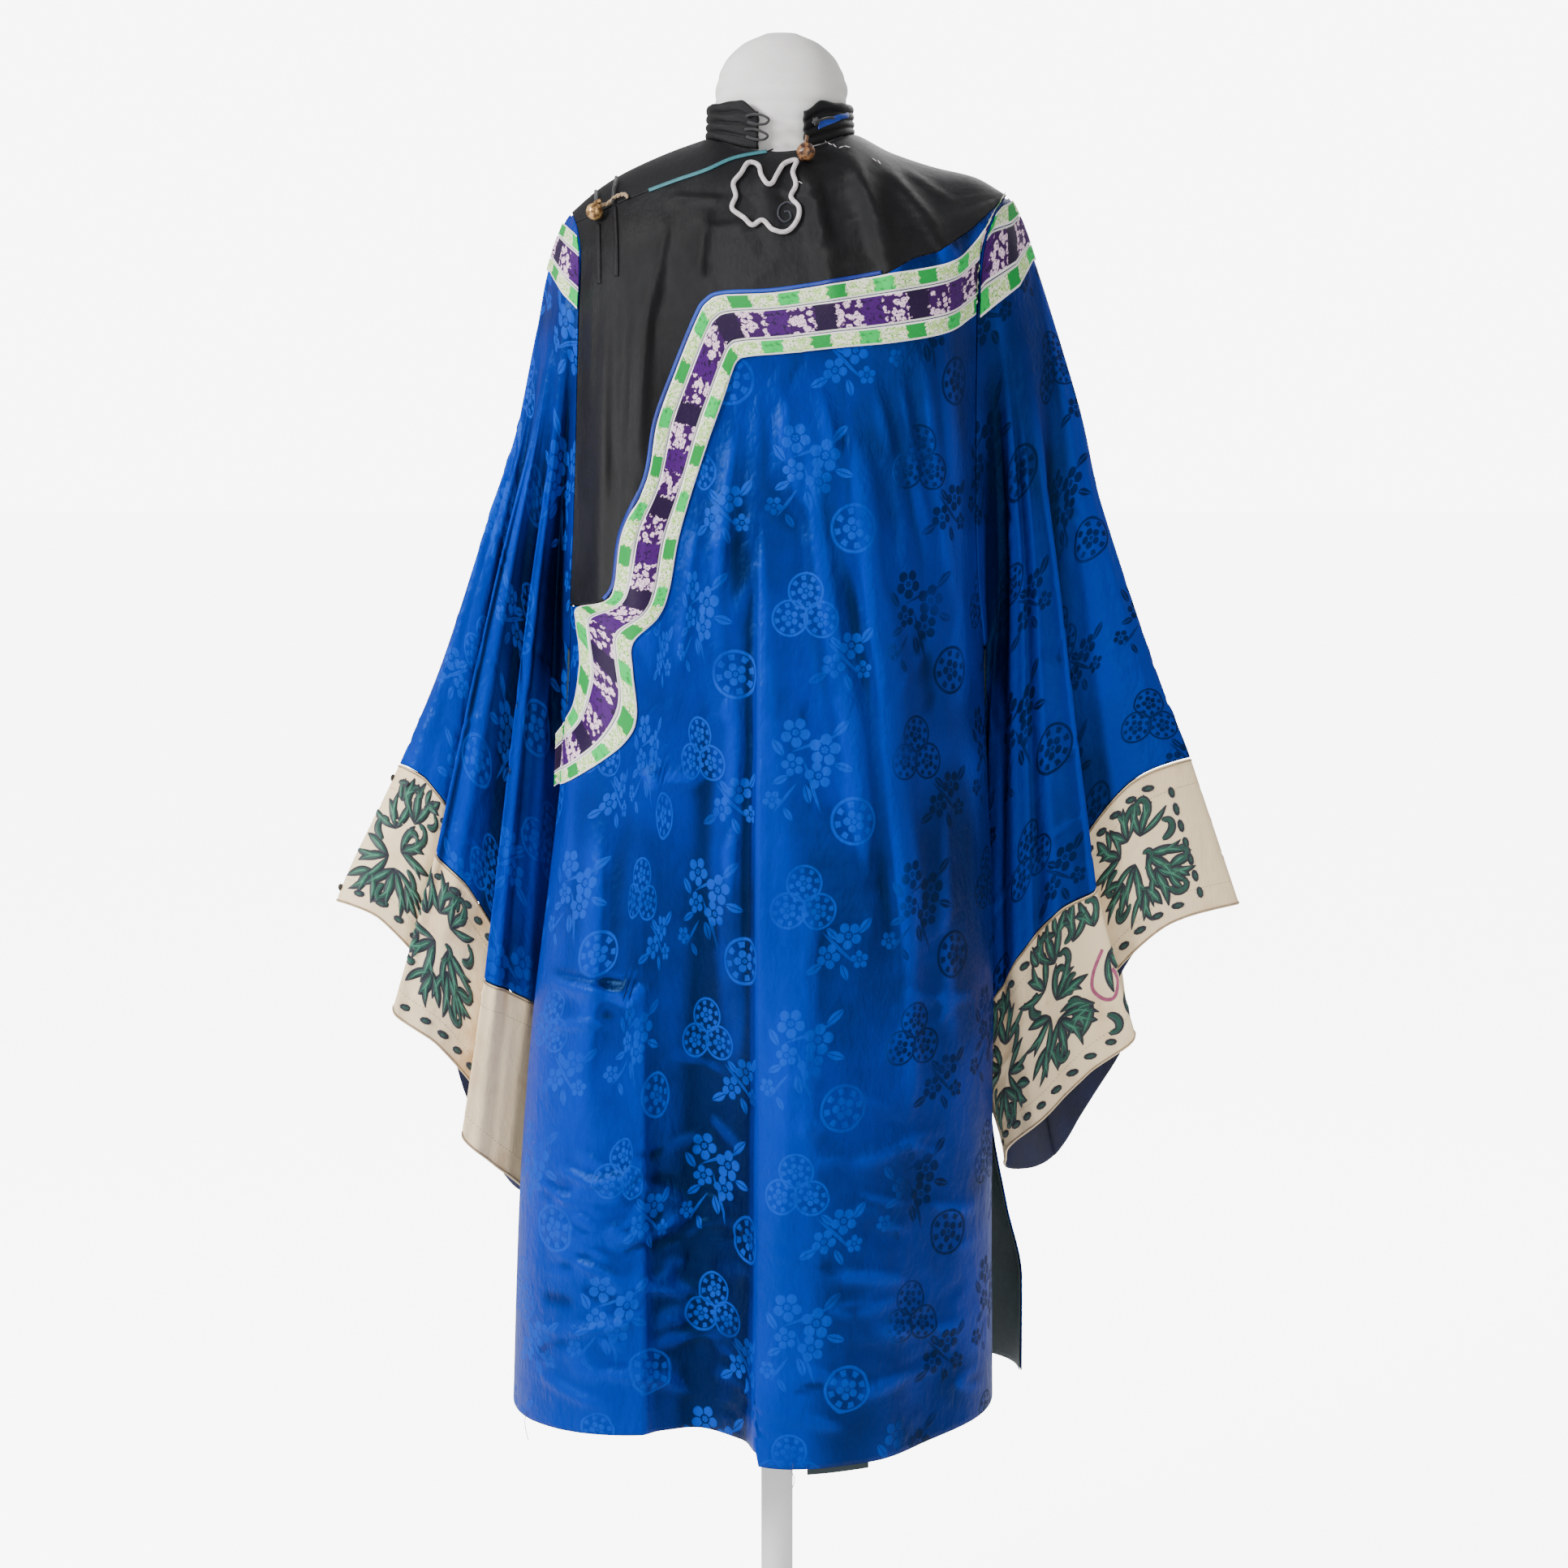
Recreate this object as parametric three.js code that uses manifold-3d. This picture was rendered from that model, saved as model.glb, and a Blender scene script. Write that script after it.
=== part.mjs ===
// A wide-sleeved silk robe with a black yoke, woven ribbon borders and embroidered cuffs, worn by a
// limbless dress form on a pole stand. Millimetres, +Z up, the front faces -Y, and the origin is the
// centre of the stand's base on the floor. The robe is built the way it is cut: a front and a back of
// blue silk, yokes laid into them, ribbons laid on them, sleeves that hang in overlapping folds from the
// shoulder tips, cuffs sewn to their ends, and a standing collar.
import * as THREE from "three";
import { mergeVertices } from "three/addons/utils/BufferGeometryUtils.js";
import Module from "manifold-3d";

const wasm = await Module();
wasm.setup();

// Driving sizes
const CLOTH = 1.5; // a silk layer with its lining
const GUARD = { inside: 2, outside: 4 }; // from a ribbon's end to the armhole, on the body and on the sleeve
const TRIM_GAP = 0.5; // between a panel and the ribbon that lies on it
const RIBBON = 1.2; // thickness of a ribbon
const SEAM = 0.4; // half the gap between two pieces at a seam
const ROUNDNESS = 2.4; // exponent of the body's rings: 2 is an ellipse
const ARMPIT = 970; // height of the underarm
const SLIT_TOP = 850; // height where the side seams open
const NECK = { x: 3, halfWidth: 62, front: 60, back: 58 };
const COLLAR = { wall: 2.4, height: 40, ridges: 4, ridgeOut: 1.7, opensFrom: -15, opensTo: 23, top: 1424 };

// The body's rings: how far the cloth reaches to each side, to the front and to the back
const BODY = [
  { z: 312, left: -232, right: 190, front: 154, back: 138 },
  { z: 491, left: -225, right: 188, front: 148, back: 132 },
  { z: 651, left: -212, right: 188, front: 141, back: 124 },
  { z: 759, left: -198, right: 186, front: 135, back: 118 },
  { z: 865, left: -185, right: 181, front: 129, back: 112 },
  { z: 970, left: -176, right: 177, front: 126, back: 108 },
  { z: 1080, left: -180, right: 182, front: 124, back: 110 },
  { z: 1200, left: -184, right: 190, front: 120, back: 110 },
  { z: 1300, left: -186, right: 198, front: 106, back: 100 },
  { z: 1350, left: -180, right: 198, front: 88, back: 84 },
  { z: 1400, left: -174, right: 194, front: 72, back: 70 },
];

// Below the slits the back panel swings clear of the front: its side edges, and how far each edge
// stands from the middle plane
const SLITS = [
  { z: 312, backLeft: -214, backRight: 222, frontEdge: 10, backEdge: 50 },
  { z: 400, backLeft: -210, backRight: 221, frontEdge: 8, backEdge: 46 },
  { z: 470, backLeft: -207, backRight: 206, frontEdge: 5, backEdge: 38 },
  { z: 560, backLeft: -203, backRight: 190, frontEdge: 2, backEdge: 22 },
  { z: 700, backLeft: -199, backRight: 184, frontEdge: 0.5, backEdge: 8 },
  { z: SLIT_TOP, backLeft: -186.7, backRight: 181.6, frontEdge: SEAM, backEdge: SEAM },
];

// The shoulder line from the left tip to the right tip
const SHOULDER = [
  { x: -171.5, z: 1338 },
  { x: -150, z: 1356 },
  { x: -133, z: 1367 },
  { x: -106, z: 1380 },
  { x: -72, z: 1393 },
  { x: -50, z: 1399 },
  { x: 56, z: 1403 },
  { x: 97, z: 1386 },
  { x: 131, z: 1375 },
  { x: 165, z: 1367 },
  { x: 193, z: 1352 },
];

// The armholes, from each shoulder tip down to the underarm
const ARMHOLES = {
  left: [
    { z: ARMPIT, x: -176 },
    { z: 985, x: -175.5 },
    { z: 1020, x: -174 },
    { z: 1080, x: -170 },
    { z: 1250, x: -163 },
    { z: 1300, x: -161 },
    { z: 1320, x: -164 },
    { z: 1338, x: -171.5 },
  ],
  right: [
    { z: ARMPIT, x: 177 },
    { z: 985, x: 175 },
    { z: 1020, x: 170 },
    { z: 1080, x: 166.5 },
    { z: 1245, x: 165 },
    { z: 1300, x: 168 },
    { z: 1330, x: 178 },
    { z: 1352, x: 193 },
  ],
};

// Folds of the front and the back. Each runs from its top to its foot, stands out of the cloth (or sinks,
// below zero), and falls away over one width to the left and another to the right.
const fold = (name, [topX, topZ], [footX, footZ], size) => ({ name, topX, topZ, footX, footZ, ...size });
const FRONT_FOLDS = [
  fold("centre lap", [-12, 1230], [-17, 312], { full: 500, out: 22, left: 6, right: 105 }),
  fold("left hollow", [-70, 1000], [-84, 312], { full: 500, out: -34, left: 85, right: 62 }),
  fold("left inner hollow", [-50, 900], [-62, 312], { full: 400, out: -18, left: 30, right: 34 }),
  fold("left panel edge", [-115, 900], [-114, 312], { full: 420, out: 8, left: 60, right: 9 }),
  fold("breast fold", [16, 1220], [64, 870], { full: 120, out: 9, left: 13, right: 24 }),
  fold("middle fold", [54, 1220], [104, 800], { full: 120, out: 9, left: 12, right: 24 }),
  fold("side fold", [138, 1230], [172, 860], { full: 100, out: 8, left: 12, right: 12 }),
  fold("left drape", [-50, 1140], [-34, 700], { full: 160, out: 9, left: 14, right: 18 }),
  fold("right hollow", [120, 700], [128, 312], { full: 380, out: -8, left: 26, right: 34 }),
  fold("yoke fold 1", [22, 1376], [44, 1270], { full: 50, out: 4, left: 7, right: 12 }),
  fold("yoke fold 2", [58, 1392], [92, 1280], { full: 50, out: 5, left: 8, right: 12 }),
  fold("yoke fold 3", [80, 1388], [138, 1300], { full: 50, out: 5, left: 8, right: 12 }),
  fold("flap fold", [-104, 1310], [-116, 1010], { full: 120, out: 9, left: 14, right: 20 }),
  fold("flap side fold", [-142, 1240], [-146, 1010], { full: 80, out: 6, left: 9, right: 10 }),
];
const BACK_FOLDS = [
  fold("centre seam fold", [6, 1230], [10, 312], { full: 500, out: -16, left: 30, right: 26 }),
  fold("left ridge", [-60, 1210], [-74, 312], { full: 600, out: 12, left: 30, right: 26 }),
  fold("right ridge", [66, 1210], [84, 312], { full: 600, out: 13, left: 26, right: 34 }),
  fold("left hollow", [-110, 900], [-132, 312], { full: 500, out: -12, left: 24, right: 24 }),
  fold("right hollow", [128, 860], [146, 312], { full: 460, out: -12, left: 24, right: 22 }),
  fold("shoulder blade", [40, 1330], [20, 900], { full: 160, out: 5, left: 12, right: 14 }),
];
// The crease where a sleeve hangs off the body
const VALLEY = { depth: 15, width: 17, from: 1330, to: 1000, fade: 60 };

// The sleeves hang like fans from the shoulder tips. A ring runs from the underarm over the front to the
// outer edge and back behind. Each row is a fold line: its angle from the vertical where the cuff begins
// and at the mouth, its depth, and its distance from the tip to the cuff's start and to the mouth.
const RIGHT_SLEEVE = {
  side: 1,
  tip: { x: 193, z: 1352 },
  outer: [
    { from: 0, angle: 42 },
    { from: 20, angle: 31 },
    { from: 60, angle: 24 },
    { from: 120, angle: 21.3 },
    { from: 190, angle: 19.9 },
    { from: 270, angle: 18.1 },
    { from: 365, angle: 18.3 },
    { from: 440, angle: 18.6 },
    { from: 504, angle: 19.1 },
    { from: 860, angle: 19.2 },
  ],
  folds: [
    { name: "underarm", cuffAngle: -0.6, mouthAngle: 0.9, depth: 42, cuff: 718, mouth: 850 },
    { name: "front inner", cuffAngle: 0.0, mouthAngle: 0.8, depth: 2, cuff: 690, mouth: 820 },
    { name: "front crumple", cuffAngle: 1.7, mouthAngle: 2.8, depth: -22, cuff: 640, mouth: 790 },
    { name: "front middle", cuffAngle: 4.6, mouthAngle: 5.8, depth: -26, cuff: 606, mouth: 752 },
    { name: "front fold", cuffAngle: 7.9, mouthAngle: 9.3, depth: -26, cuff: 590, mouth: 724 },
    { name: "front return", cuffAngle: 6.2, mouthAngle: 7, depth: -6, cuff: 568, mouth: 694 },
    { name: "upper front", cuffAngle: 12.5, mouthAngle: 12.8, depth: -8, cuff: 508, mouth: 639 },
    { name: "outer edge", cuffAngle: 19.1, mouthAngle: 19.2, depth: 10, cuff: 504, mouth: 640 },
    { name: "upper back", cuffAngle: 13.5, mouthAngle: 13.8, depth: 28, cuff: 512, mouth: 636 },
    { name: "back return", cuffAngle: 9, mouthAngle: 8.8, depth: 30, cuff: 556, mouth: 690 },
    { name: "back fold", cuffAngle: 9.6, mouthAngle: 9.4, depth: 44, cuff: 600, mouth: 736 },
    { name: "back middle", cuffAngle: 5.4, mouthAngle: 6.3, depth: 54, cuff: 650, mouth: 796 },
    { name: "back inner", cuffAngle: 2.2, mouthAngle: 3.6, depth: 56, cuff: 704, mouth: 846 },
    { name: "underarm", cuffAngle: -0.6, mouthAngle: 0.9, depth: 42, cuff: 718, mouth: 850 },
  ],
  outerFold: 7,
  liningFrom: 21,
  ribbon: { innerFrom: 74, innerTo: 114, outerFrom: 7, outerTo: 61 },
};
const LEFT_SLEEVE = {
  side: -1,
  tip: { x: -171.5, z: 1338 },
  outer: [
    { from: 0, angle: 46 },
    { from: 20, angle: 30 },
    { from: 60, angle: 22 },
    { from: 100, angle: 17.6 },
    { from: 190, angle: 15.2 },
    { from: 270, angle: 16.3 },
    { from: 400, angle: 17.2 },
    { from: 494, angle: 18.4 },
    { from: 627, angle: 19.9 },
    { from: 870, angle: 19.9 },
  ],
  folds: [
    { name: "underarm", cuffAngle: 3.3, mouthAngle: 3.2, depth: 44, cuff: 700, mouth: 864 },
    { name: "front inner", cuffAngle: 4.0, mouthAngle: 4.0, depth: 22, cuff: 684, mouth: 846 },
    { name: "lower front", cuffAngle: 5.4, mouthAngle: 5.6, depth: 2, cuff: 668, mouth: 824 },
    { name: "lower fold", cuffAngle: 7.2, mouthAngle: 7.5, depth: -6, cuff: 658, mouth: 800 },
    { name: "lower return", cuffAngle: 5.9, mouthAngle: 6.1, depth: 12, cuff: 638, mouth: 780 },
    { name: "middle front", cuffAngle: 9.4, mouthAngle: 9.8, depth: -2, cuff: 582, mouth: 726 },
    { name: "middle fold", cuffAngle: 12.7, mouthAngle: 13.4, depth: -8, cuff: 556, mouth: 701 },
    { name: "upper return", cuffAngle: 11, mouthAngle: 11.5, depth: 9, cuff: 536, mouth: 670 },
    { name: "upper front", cuffAngle: 15.2, mouthAngle: 16, depth: 2, cuff: 498, mouth: 628 },
    { name: "outer edge", cuffAngle: 18.4, mouthAngle: 19.9, depth: 18, cuff: 494, mouth: 627 },
    { name: "upper back", cuffAngle: 14.4, mouthAngle: 15, depth: 34, cuff: 506, mouth: 630 },
    { name: "middle back", cuffAngle: 10.6, mouthAngle: 11, depth: 44, cuff: 560, mouth: 680 },
    { name: "lower back", cuffAngle: 7.6, mouthAngle: 8.2, depth: 54, cuff: 640, mouth: 772 },
    { name: "back inner", cuffAngle: 5, mouthAngle: 5.2, depth: 60, cuff: 690, mouth: 846 },
    { name: "underarm", cuffAngle: 3.3, mouthAngle: 3.2, depth: 44, cuff: 700, mouth: 864 },
  ],
  outerFold: 9,
  liningFrom: 23,
  ribbon: { innerFrom: 34, innerTo: 88, outerFrom: 5, outerTo: 61 },
};
const FAN = { foldsFrom: 70, foldsFull: 430, bulge: 12, seamGap: 3, sideGap: 5, tuck: 150 };

// Small helpers
const clamp = (v, low, high) => Math.min(high, Math.max(low, v));
const mix = (a, b, t) => a + (b - a) * t;
const ease = (from, to, v) => {
  const t = clamp((v - from) / (to - from), 0, 1);
  return t * t * (3 - 2 * t);
};
const rad = THREE.MathUtils.degToRad;
const deg = THREE.MathUtils.radToDeg;

// A smooth curve through one column of a table, read by another: cubic, and never past its neighbours
function curve(rows, by, column) {
  const x = rows.map((r) => r[by]);
  const y = rows.map((r) => r[column]);
  const n = x.length;
  const slope = x.slice(1).map((v, i) => (y[i + 1] - y[i]) / (v - x[i]));
  const tangent = x.map((_, i) => {
    if (i === 0 || i === n - 1) return slope[Math.min(i, n - 2)];
    if (slope[i - 1] * slope[i] <= 0) return 0;
    return (2 * slope[i - 1] * slope[i]) / (slope[i - 1] + slope[i]);
  });
  return (at) => {
    const v = clamp(at, x[0], x[n - 1]);
    let i = 0;
    while (i < n - 2 && v > x[i + 1]) i++;
    const width = x[i + 1] - x[i];
    const t = (v - x[i]) / width;
    const t2 = t * t;
    const t3 = t2 * t;
    return (
      (2 * t3 - 3 * t2 + 1) * y[i] +
      (t3 - 2 * t2 + t) * width * tangent[i] +
      (3 * t2 - 2 * t3) * y[i + 1] +
      (t3 - t2) * width * tangent[i + 1]
    );
  };
}
const columns = (rows, by) =>
  Object.fromEntries(
    Object.keys(rows[0])
      .filter((key) => key !== by && key !== "name")
      .map((key) => [key, curve(rows, by, key)]),
  );

const body = columns(BODY, "z");
const slit = columns(SLITS, "z");
const shoulderHeight = curve(SHOULDER, "x", "z");
const armholeX = { left: curve(ARMHOLES.left, "z", "x"), right: curve(ARMHOLES.right, "z", "x") };
// How far down the cloth takes to turn over the shoulder
const shoulderDrop = (x) => 52 + 43 * ease(50, 150, Math.abs(x - NECK.x));

// How far all folds of a table stand out of the cloth at one place
function foldsAt(table, x, z) {
  let out = 0;
  for (const f of table) {
    const down = (f.topZ - z) / (f.topZ - f.footZ);
    if (down < 0 || down > 1.25) continue;
    const line = mix(f.topX, f.footX, down);
    const width = x < line ? f.left : f.right;
    const along = ease(0, f.full, f.topZ - z) * (f.footZ > 320 ? 1 - ease(1, 1.25, down) : 1);
    out += f.out * along * Math.exp(-(((x - line) / width) ** 2));
  }
  return out;
}

// The depth of the front (side -1) or back (side 1) at a place seen from the front, as a signed y
function bodyY(side, x, z) {
  const below = z < SLIT_TOP;
  const left = side > 0 && below ? slit.backLeft(z) : body.left(z);
  const right = side > 0 && below ? slit.backRight(z) : body.right(z);
  const centre = (left + right) / 2;
  const across = clamp(Math.abs(x - centre) / ((right - left) / 2), 0, 1);
  const round = (1 - across ** ROUNDNESS) ** (1 / ROUNDNESS);
  const full = side < 0 ? body.front(z) : body.back(z);
  const edge = below ? (side < 0 ? slit.frontEdge(z) : slit.backEdge(z)) : SEAM;
  const turned = clamp((shoulderHeight(x) - z) / shoulderDrop(x), 0, 1);
  const over = Math.sqrt(1 - (1 - turned) ** 2);
  const free = over * clamp((1 - across) * 7, 0, 1);
  const out = foldsAt(side < 0 ? FRONT_FOLDS : BACK_FOLDS, x, z) * free;
  return side * (edge + (full - edge) * round * over + out - valleyAt(x, z) * clamp(round * 2, 0, 1));
}
function valleyAt(x, z) {
  const above = ease(VALLEY.to - VALLEY.fade, VALLEY.to, z);
  const high = above * (1 - ease(VALLEY.from - VALLEY.fade, VALLEY.from, z));
  const near = Math.min(Math.abs(x - armholeX.left(z)), Math.abs(x - armholeX.right(z)));
  return VALLEY.depth * high * Math.exp(-((near / VALLEY.width) ** 2));
}
// How far the body reaches to one side at a depth
function bodySide(which, y, z) {
  const back = y > 0;
  const below = z < SLIT_TOP;
  const left = back && below ? slit.backLeft(z) : body.left(z);
  const right = back && below ? slit.backRight(z) : body.right(z);
  const edge = below ? (back ? slit.backEdge(z) : slit.frontEdge(z)) : SEAM;
  const full = back ? body.back(z) : body.front(z);
  const deep = clamp((Math.abs(y) - edge) / (full - edge), 0, 1);
  return (left + right) / 2 + (which * (right - left) * (1 - deep ** ROUNDNESS) ** (1 / ROUNDNESS)) / 2;
}
const bodyPoint = (side, x, z) => new THREE.Vector3(x, bodyY(side, x, z), z);

// A sheet is a list of points and four-sided faces. A wall is a sheet given two sides.
function gridSheet(rows, cols, pointAt, { flip = false, closed = () => false } = {}) {
  const points = [];
  const index = [];
  for (let i = 0; i < rows; i++) {
    index.push([]);
    for (let j = 0; j < cols; j++) {
      if (j === cols - 1 && closed(i)) {
        index[i].push(index[i][0]);
        continue;
      }
      index[i].push(points.length);
      points.push(pointAt(i, j));
    }
  }
  const faces = [];
  for (let i = 0; i + 1 < rows; i++)
    for (let j = 0; j + 1 < cols; j++)
      faces.push({ i, j, loop: [index[i][j], index[i + 1][j], index[i + 1][j + 1], index[i][j + 1]] });
  if (flip) faces.forEach((f) => f.loop.reverse());
  return { points, faces };
}
function normalsOf(sheet) {
  const normals = sheet.points.map(() => new THREE.Vector3());
  for (const { loop } of sheet.faces) {
    const [a, b, c, d] = loop.map((v) => sheet.points[v]);
    const n = c.clone().sub(a).cross(d.clone().sub(b));
    for (const v of loop) normals[v].add(n);
  }
  // at the side and shoulder seams the wall's edge stands square to the seam
  if (sheet.seams) normals.forEach((n, v) => (n.y = Math.abs(sheet.points[v].y) < SEAM + 0.01 ? 0 : n.y));
  return normals.map((n) => n.normalize());
}
function wall(sheet, inner, outer, keep = () => true) {
  const normals = normalsOf(sheet);
  const count = sheet.points.length;
  const vertices = [outer, inner].flatMap((off) =>
    sheet.points.map((p, i) => p.clone().addScaledVector(normals[i], off)),
  );
  const triangles = [];
  const edges = new Map();
  for (const { i, j, loop } of sheet.faces) {
    if (!keep(i, j)) continue;
    const [a, b, c, d] = loop;
    triangles.push([a, b, c], [a, c, d]);
    triangles.push([a + count, c + count, b + count], [a + count, d + count, c + count]);
    loop.forEach((v, k) => edges.set(`${v},${loop[(k + 1) % 4]}`, [v, loop[(k + 1) % 4]]));
  }
  for (const [a, b] of edges.values())
    if (!edges.has(`${b},${a}`)) triangles.push([b, a, a + count], [b, a + count, b + count]);
  const used = [...new Set(triangles.flat())].sort((a, b) => a - b);
  const place = new Map(used.map((v, k) => [v, k]));
  const geometry = new THREE.BufferGeometry();
  geometry.setAttribute(
    "position",
    new THREE.Float32BufferAttribute(used.flatMap((v) => vertices[v].toArray()), 3),
  );
  geometry.setIndex(triangles.flat().map((v) => place.get(v)));
  return geometry;
}

// Solids for cutting and joining
function solidOf(geometry) {
  const g = geometry.clone();
  g.deleteAttribute("normal");
  g.deleteAttribute("uv");
  const merged = mergeVertices(g, 1e-4);
  return new wasm.Manifold(
    new wasm.Mesh({
      numProp: 3,
      vertProperties: merged.attributes.position.array,
      triVerts: new Uint32Array(merged.index.array),
    }),
  );
}
function geometryOf(solid) {
  const mesh = solid.getMesh();
  const geometry = new THREE.BufferGeometry();
  geometry.setAttribute("position", new THREE.Float32BufferAttribute(mesh.vertProperties, 3));
  geometry.setIndex(Array.from(mesh.triVerts));
  return geometry;
}
// A prism through the whole robe, front to back, over an outline seen from the front
function prism(outline, side) {
  const shape = new THREE.Shape(outline.map((p) => new THREE.Vector2(p.x, p.z)));
  const reach = 260;
  const g = new THREE.ExtrudeGeometry(shape, { depth: reach, bevelEnabled: false, steps: 1 });
  g.rotateX(Math.PI / 2);
  if (side > 0) g.translate(0, reach, 0);
  return solidOf(g);
}

// The front and back panels as sheets. Columns follow the centre lap and the left panel's edge, so that
// those folds keep their sharp side.
const lapX = (z) => mix(FRONT_FOLDS[0].footX, FRONT_FOLDS[0].topX, clamp((z - 312) / 918, 0, 1));
const leftEdgeX = (z) => mix(-114, -104, clamp((z - 860) / 500, 0, 1));
const HEM = { left: 316, middle: 305, right: 318 };
function hemHeight(side, x) {
  if (side > 0) return 312;
  return x < lapX(312) ? HEM.left : mix(HEM.middle, HEM.right, ease(80, 190, x));
}
function sideX(side, which, z) {
  if (z >= ARMPIT) return armholeX[which](z);
  if (side > 0 && z < SLIT_TOP) return which === "left" ? slit.backLeft(z) : slit.backRight(z);
  return body[which](z);
}
// The front's columns, from its left side to the panel's edge, past it, to the lap, past it, and to the right
const FRONT_COLUMNS = [6, 1, 5, 1, 12];
const BACK_COLUMNS = 16;
function columnShares(side) {
  if (side > 0) return Array.from({ length: BACK_COLUMNS + 1 }, (_, j) => ({ share: j / BACK_COLUMNS }));
  const marks = [];
  FRONT_COLUMNS.forEach((steps, part) => {
    for (let k = part ? 1 : 0; k <= steps; k++) marks.push({ part, share: k / steps });
  });
  return marks;
}
function columnX(side, mark, z) {
  const left = sideX(side, "left", z);
  const right = sideX(side, "right", z);
  if (side > 0) return mix(left, right, (1 - Math.cos(Math.PI * mark.share)) / 2);
  const stops = [left, leftEdgeX(z), leftEdgeX(z) + 9, lapX(z) - 6, lapX(z), right];
  const [a, b] = [stops[mark.part], stops[mark.part + 1]];
  if (mark.part === 0) return mix(a, b, 1 - Math.cos((Math.PI / 2) * mark.share));
  if (mark.part === 4) return mix(a, b, Math.sin((Math.PI / 2) * mark.share));
  return mix(a, b, mark.share);
}
// Row heights: even below the underarm, then along the cloth up to the shoulder line or the neckline
const LOWER_ROWS = [0, 0.12, 0.24, 0.36, 0.48, 0.6, 0.72, 0.816, 0.9, 1];
const UPPER_ROWS = [0.25, 0.5, 0.75, 1];
const SHOULDER_TURNS = [68, 45, 22, 0];
function rowHeight(side, row, x) {
  if (row < LOWER_ROWS.length) return mix(hemHeight(side, x), ARMPIT, LOWER_ROWS[row]);
  const turnFrom = shoulderHeight(x) - shoulderDrop(x);
  const up = row - LOWER_ROWS.length;
  if (up < UPPER_ROWS.length) return mix(ARMPIT, turnFrom, UPPER_ROWS[up]);
  const turn = rad(SHOULDER_TURNS[up - UPPER_ROWS.length]);
  return turnFrom + shoulderDrop(x) * Math.cos(turn);
}
function panelSheet(side) {
  const marks = columnShares(side);
  const rows = LOWER_ROWS.length + UPPER_ROWS.length + SHOULDER_TURNS.length;
  const sheet = gridSheet(rows, marks.length, (i, j) => {
    let x = columnX(side, marks[j], ARMPIT);
    let z = 0;
    for (let k = 0; k < 12; k++) {
      z = rowHeight(side, i, x);
      x = columnX(side, marks[j], z);
    }
    return bodyPoint(side, x, z);
  }, { flip: side < 0 });
  return { ...sheet, seams: true };
}

// Where the neckline crosses the shoulder turn: the cloth's place on an oval round the neck
function neckPoint(angle, grow = 0) {
  const x = NECK.x + (NECK.halfWidth + grow) * Math.sin(angle);
  const front = Math.cos(angle) > 0;
  const want = Math.abs(Math.cos(angle)) * ((front ? NECK.front : NECK.back) + grow);
  let low = shoulderHeight(x) - shoulderDrop(x);
  let high = shoulderHeight(x);
  for (let k = 0; k < 30; k++) {
    const z = (low + high) / 2;
    if (Math.abs(bodyY(front ? -1 : 1, x, z)) > want) low = z;
    else high = z;
  }
  return new THREE.Vector3(x, front ? -want : want, (low + high) / 2);
}
// The neck hole as an outline seen from the front, closed far above the shoulders
function neckOutline(side) {
  const points = [];
  for (let k = 0; k <= 24; k++) {
    const from = side < 0 ? -Math.PI / 2 : (Math.PI * 3) / 2;
    const angle = mix(from, Math.PI / 2, k / 24);
    const p = neckPoint(angle, 1.4);
    points.push({ x: p.x, z: p.z });
  }
  points.push({ x: points.at(-1).x, z: 1500 }, { x: points[0].x, z: 1500 });
  return points;
}

// A sleeve's points. Down one fold line, v runs from the tip (0) to the cuff's start (1) and the mouth (2).
// The gap between silk and cuff, in two halves: shares of the silk's and of the cuff's length
const CUFF_SEAM = { silk: 0.001, cuff: 0.005 };
const LENGTHS = { body: [0.02, 0.06, 0.12, 0.2, 0.31, 0.42], below: [0.2, 0.45, 0.72, 1], cuff: [0.5, 1] };
function armholeSpot(sleeve, distance) {
  const edge = sleeve.side < 0 ? armholeX.left : armholeX.right;
  let low = ARMPIT;
  let high = sleeve.tip.z;
  for (let k = 0; k < 30; k++) {
    const z = (low + high) / 2;
    if (Math.hypot(edge(z) - sleeve.tip.x, sleeve.tip.z - z) > distance) low = z;
    else high = z;
  }
  return { x: edge(low), z: low };
}
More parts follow.
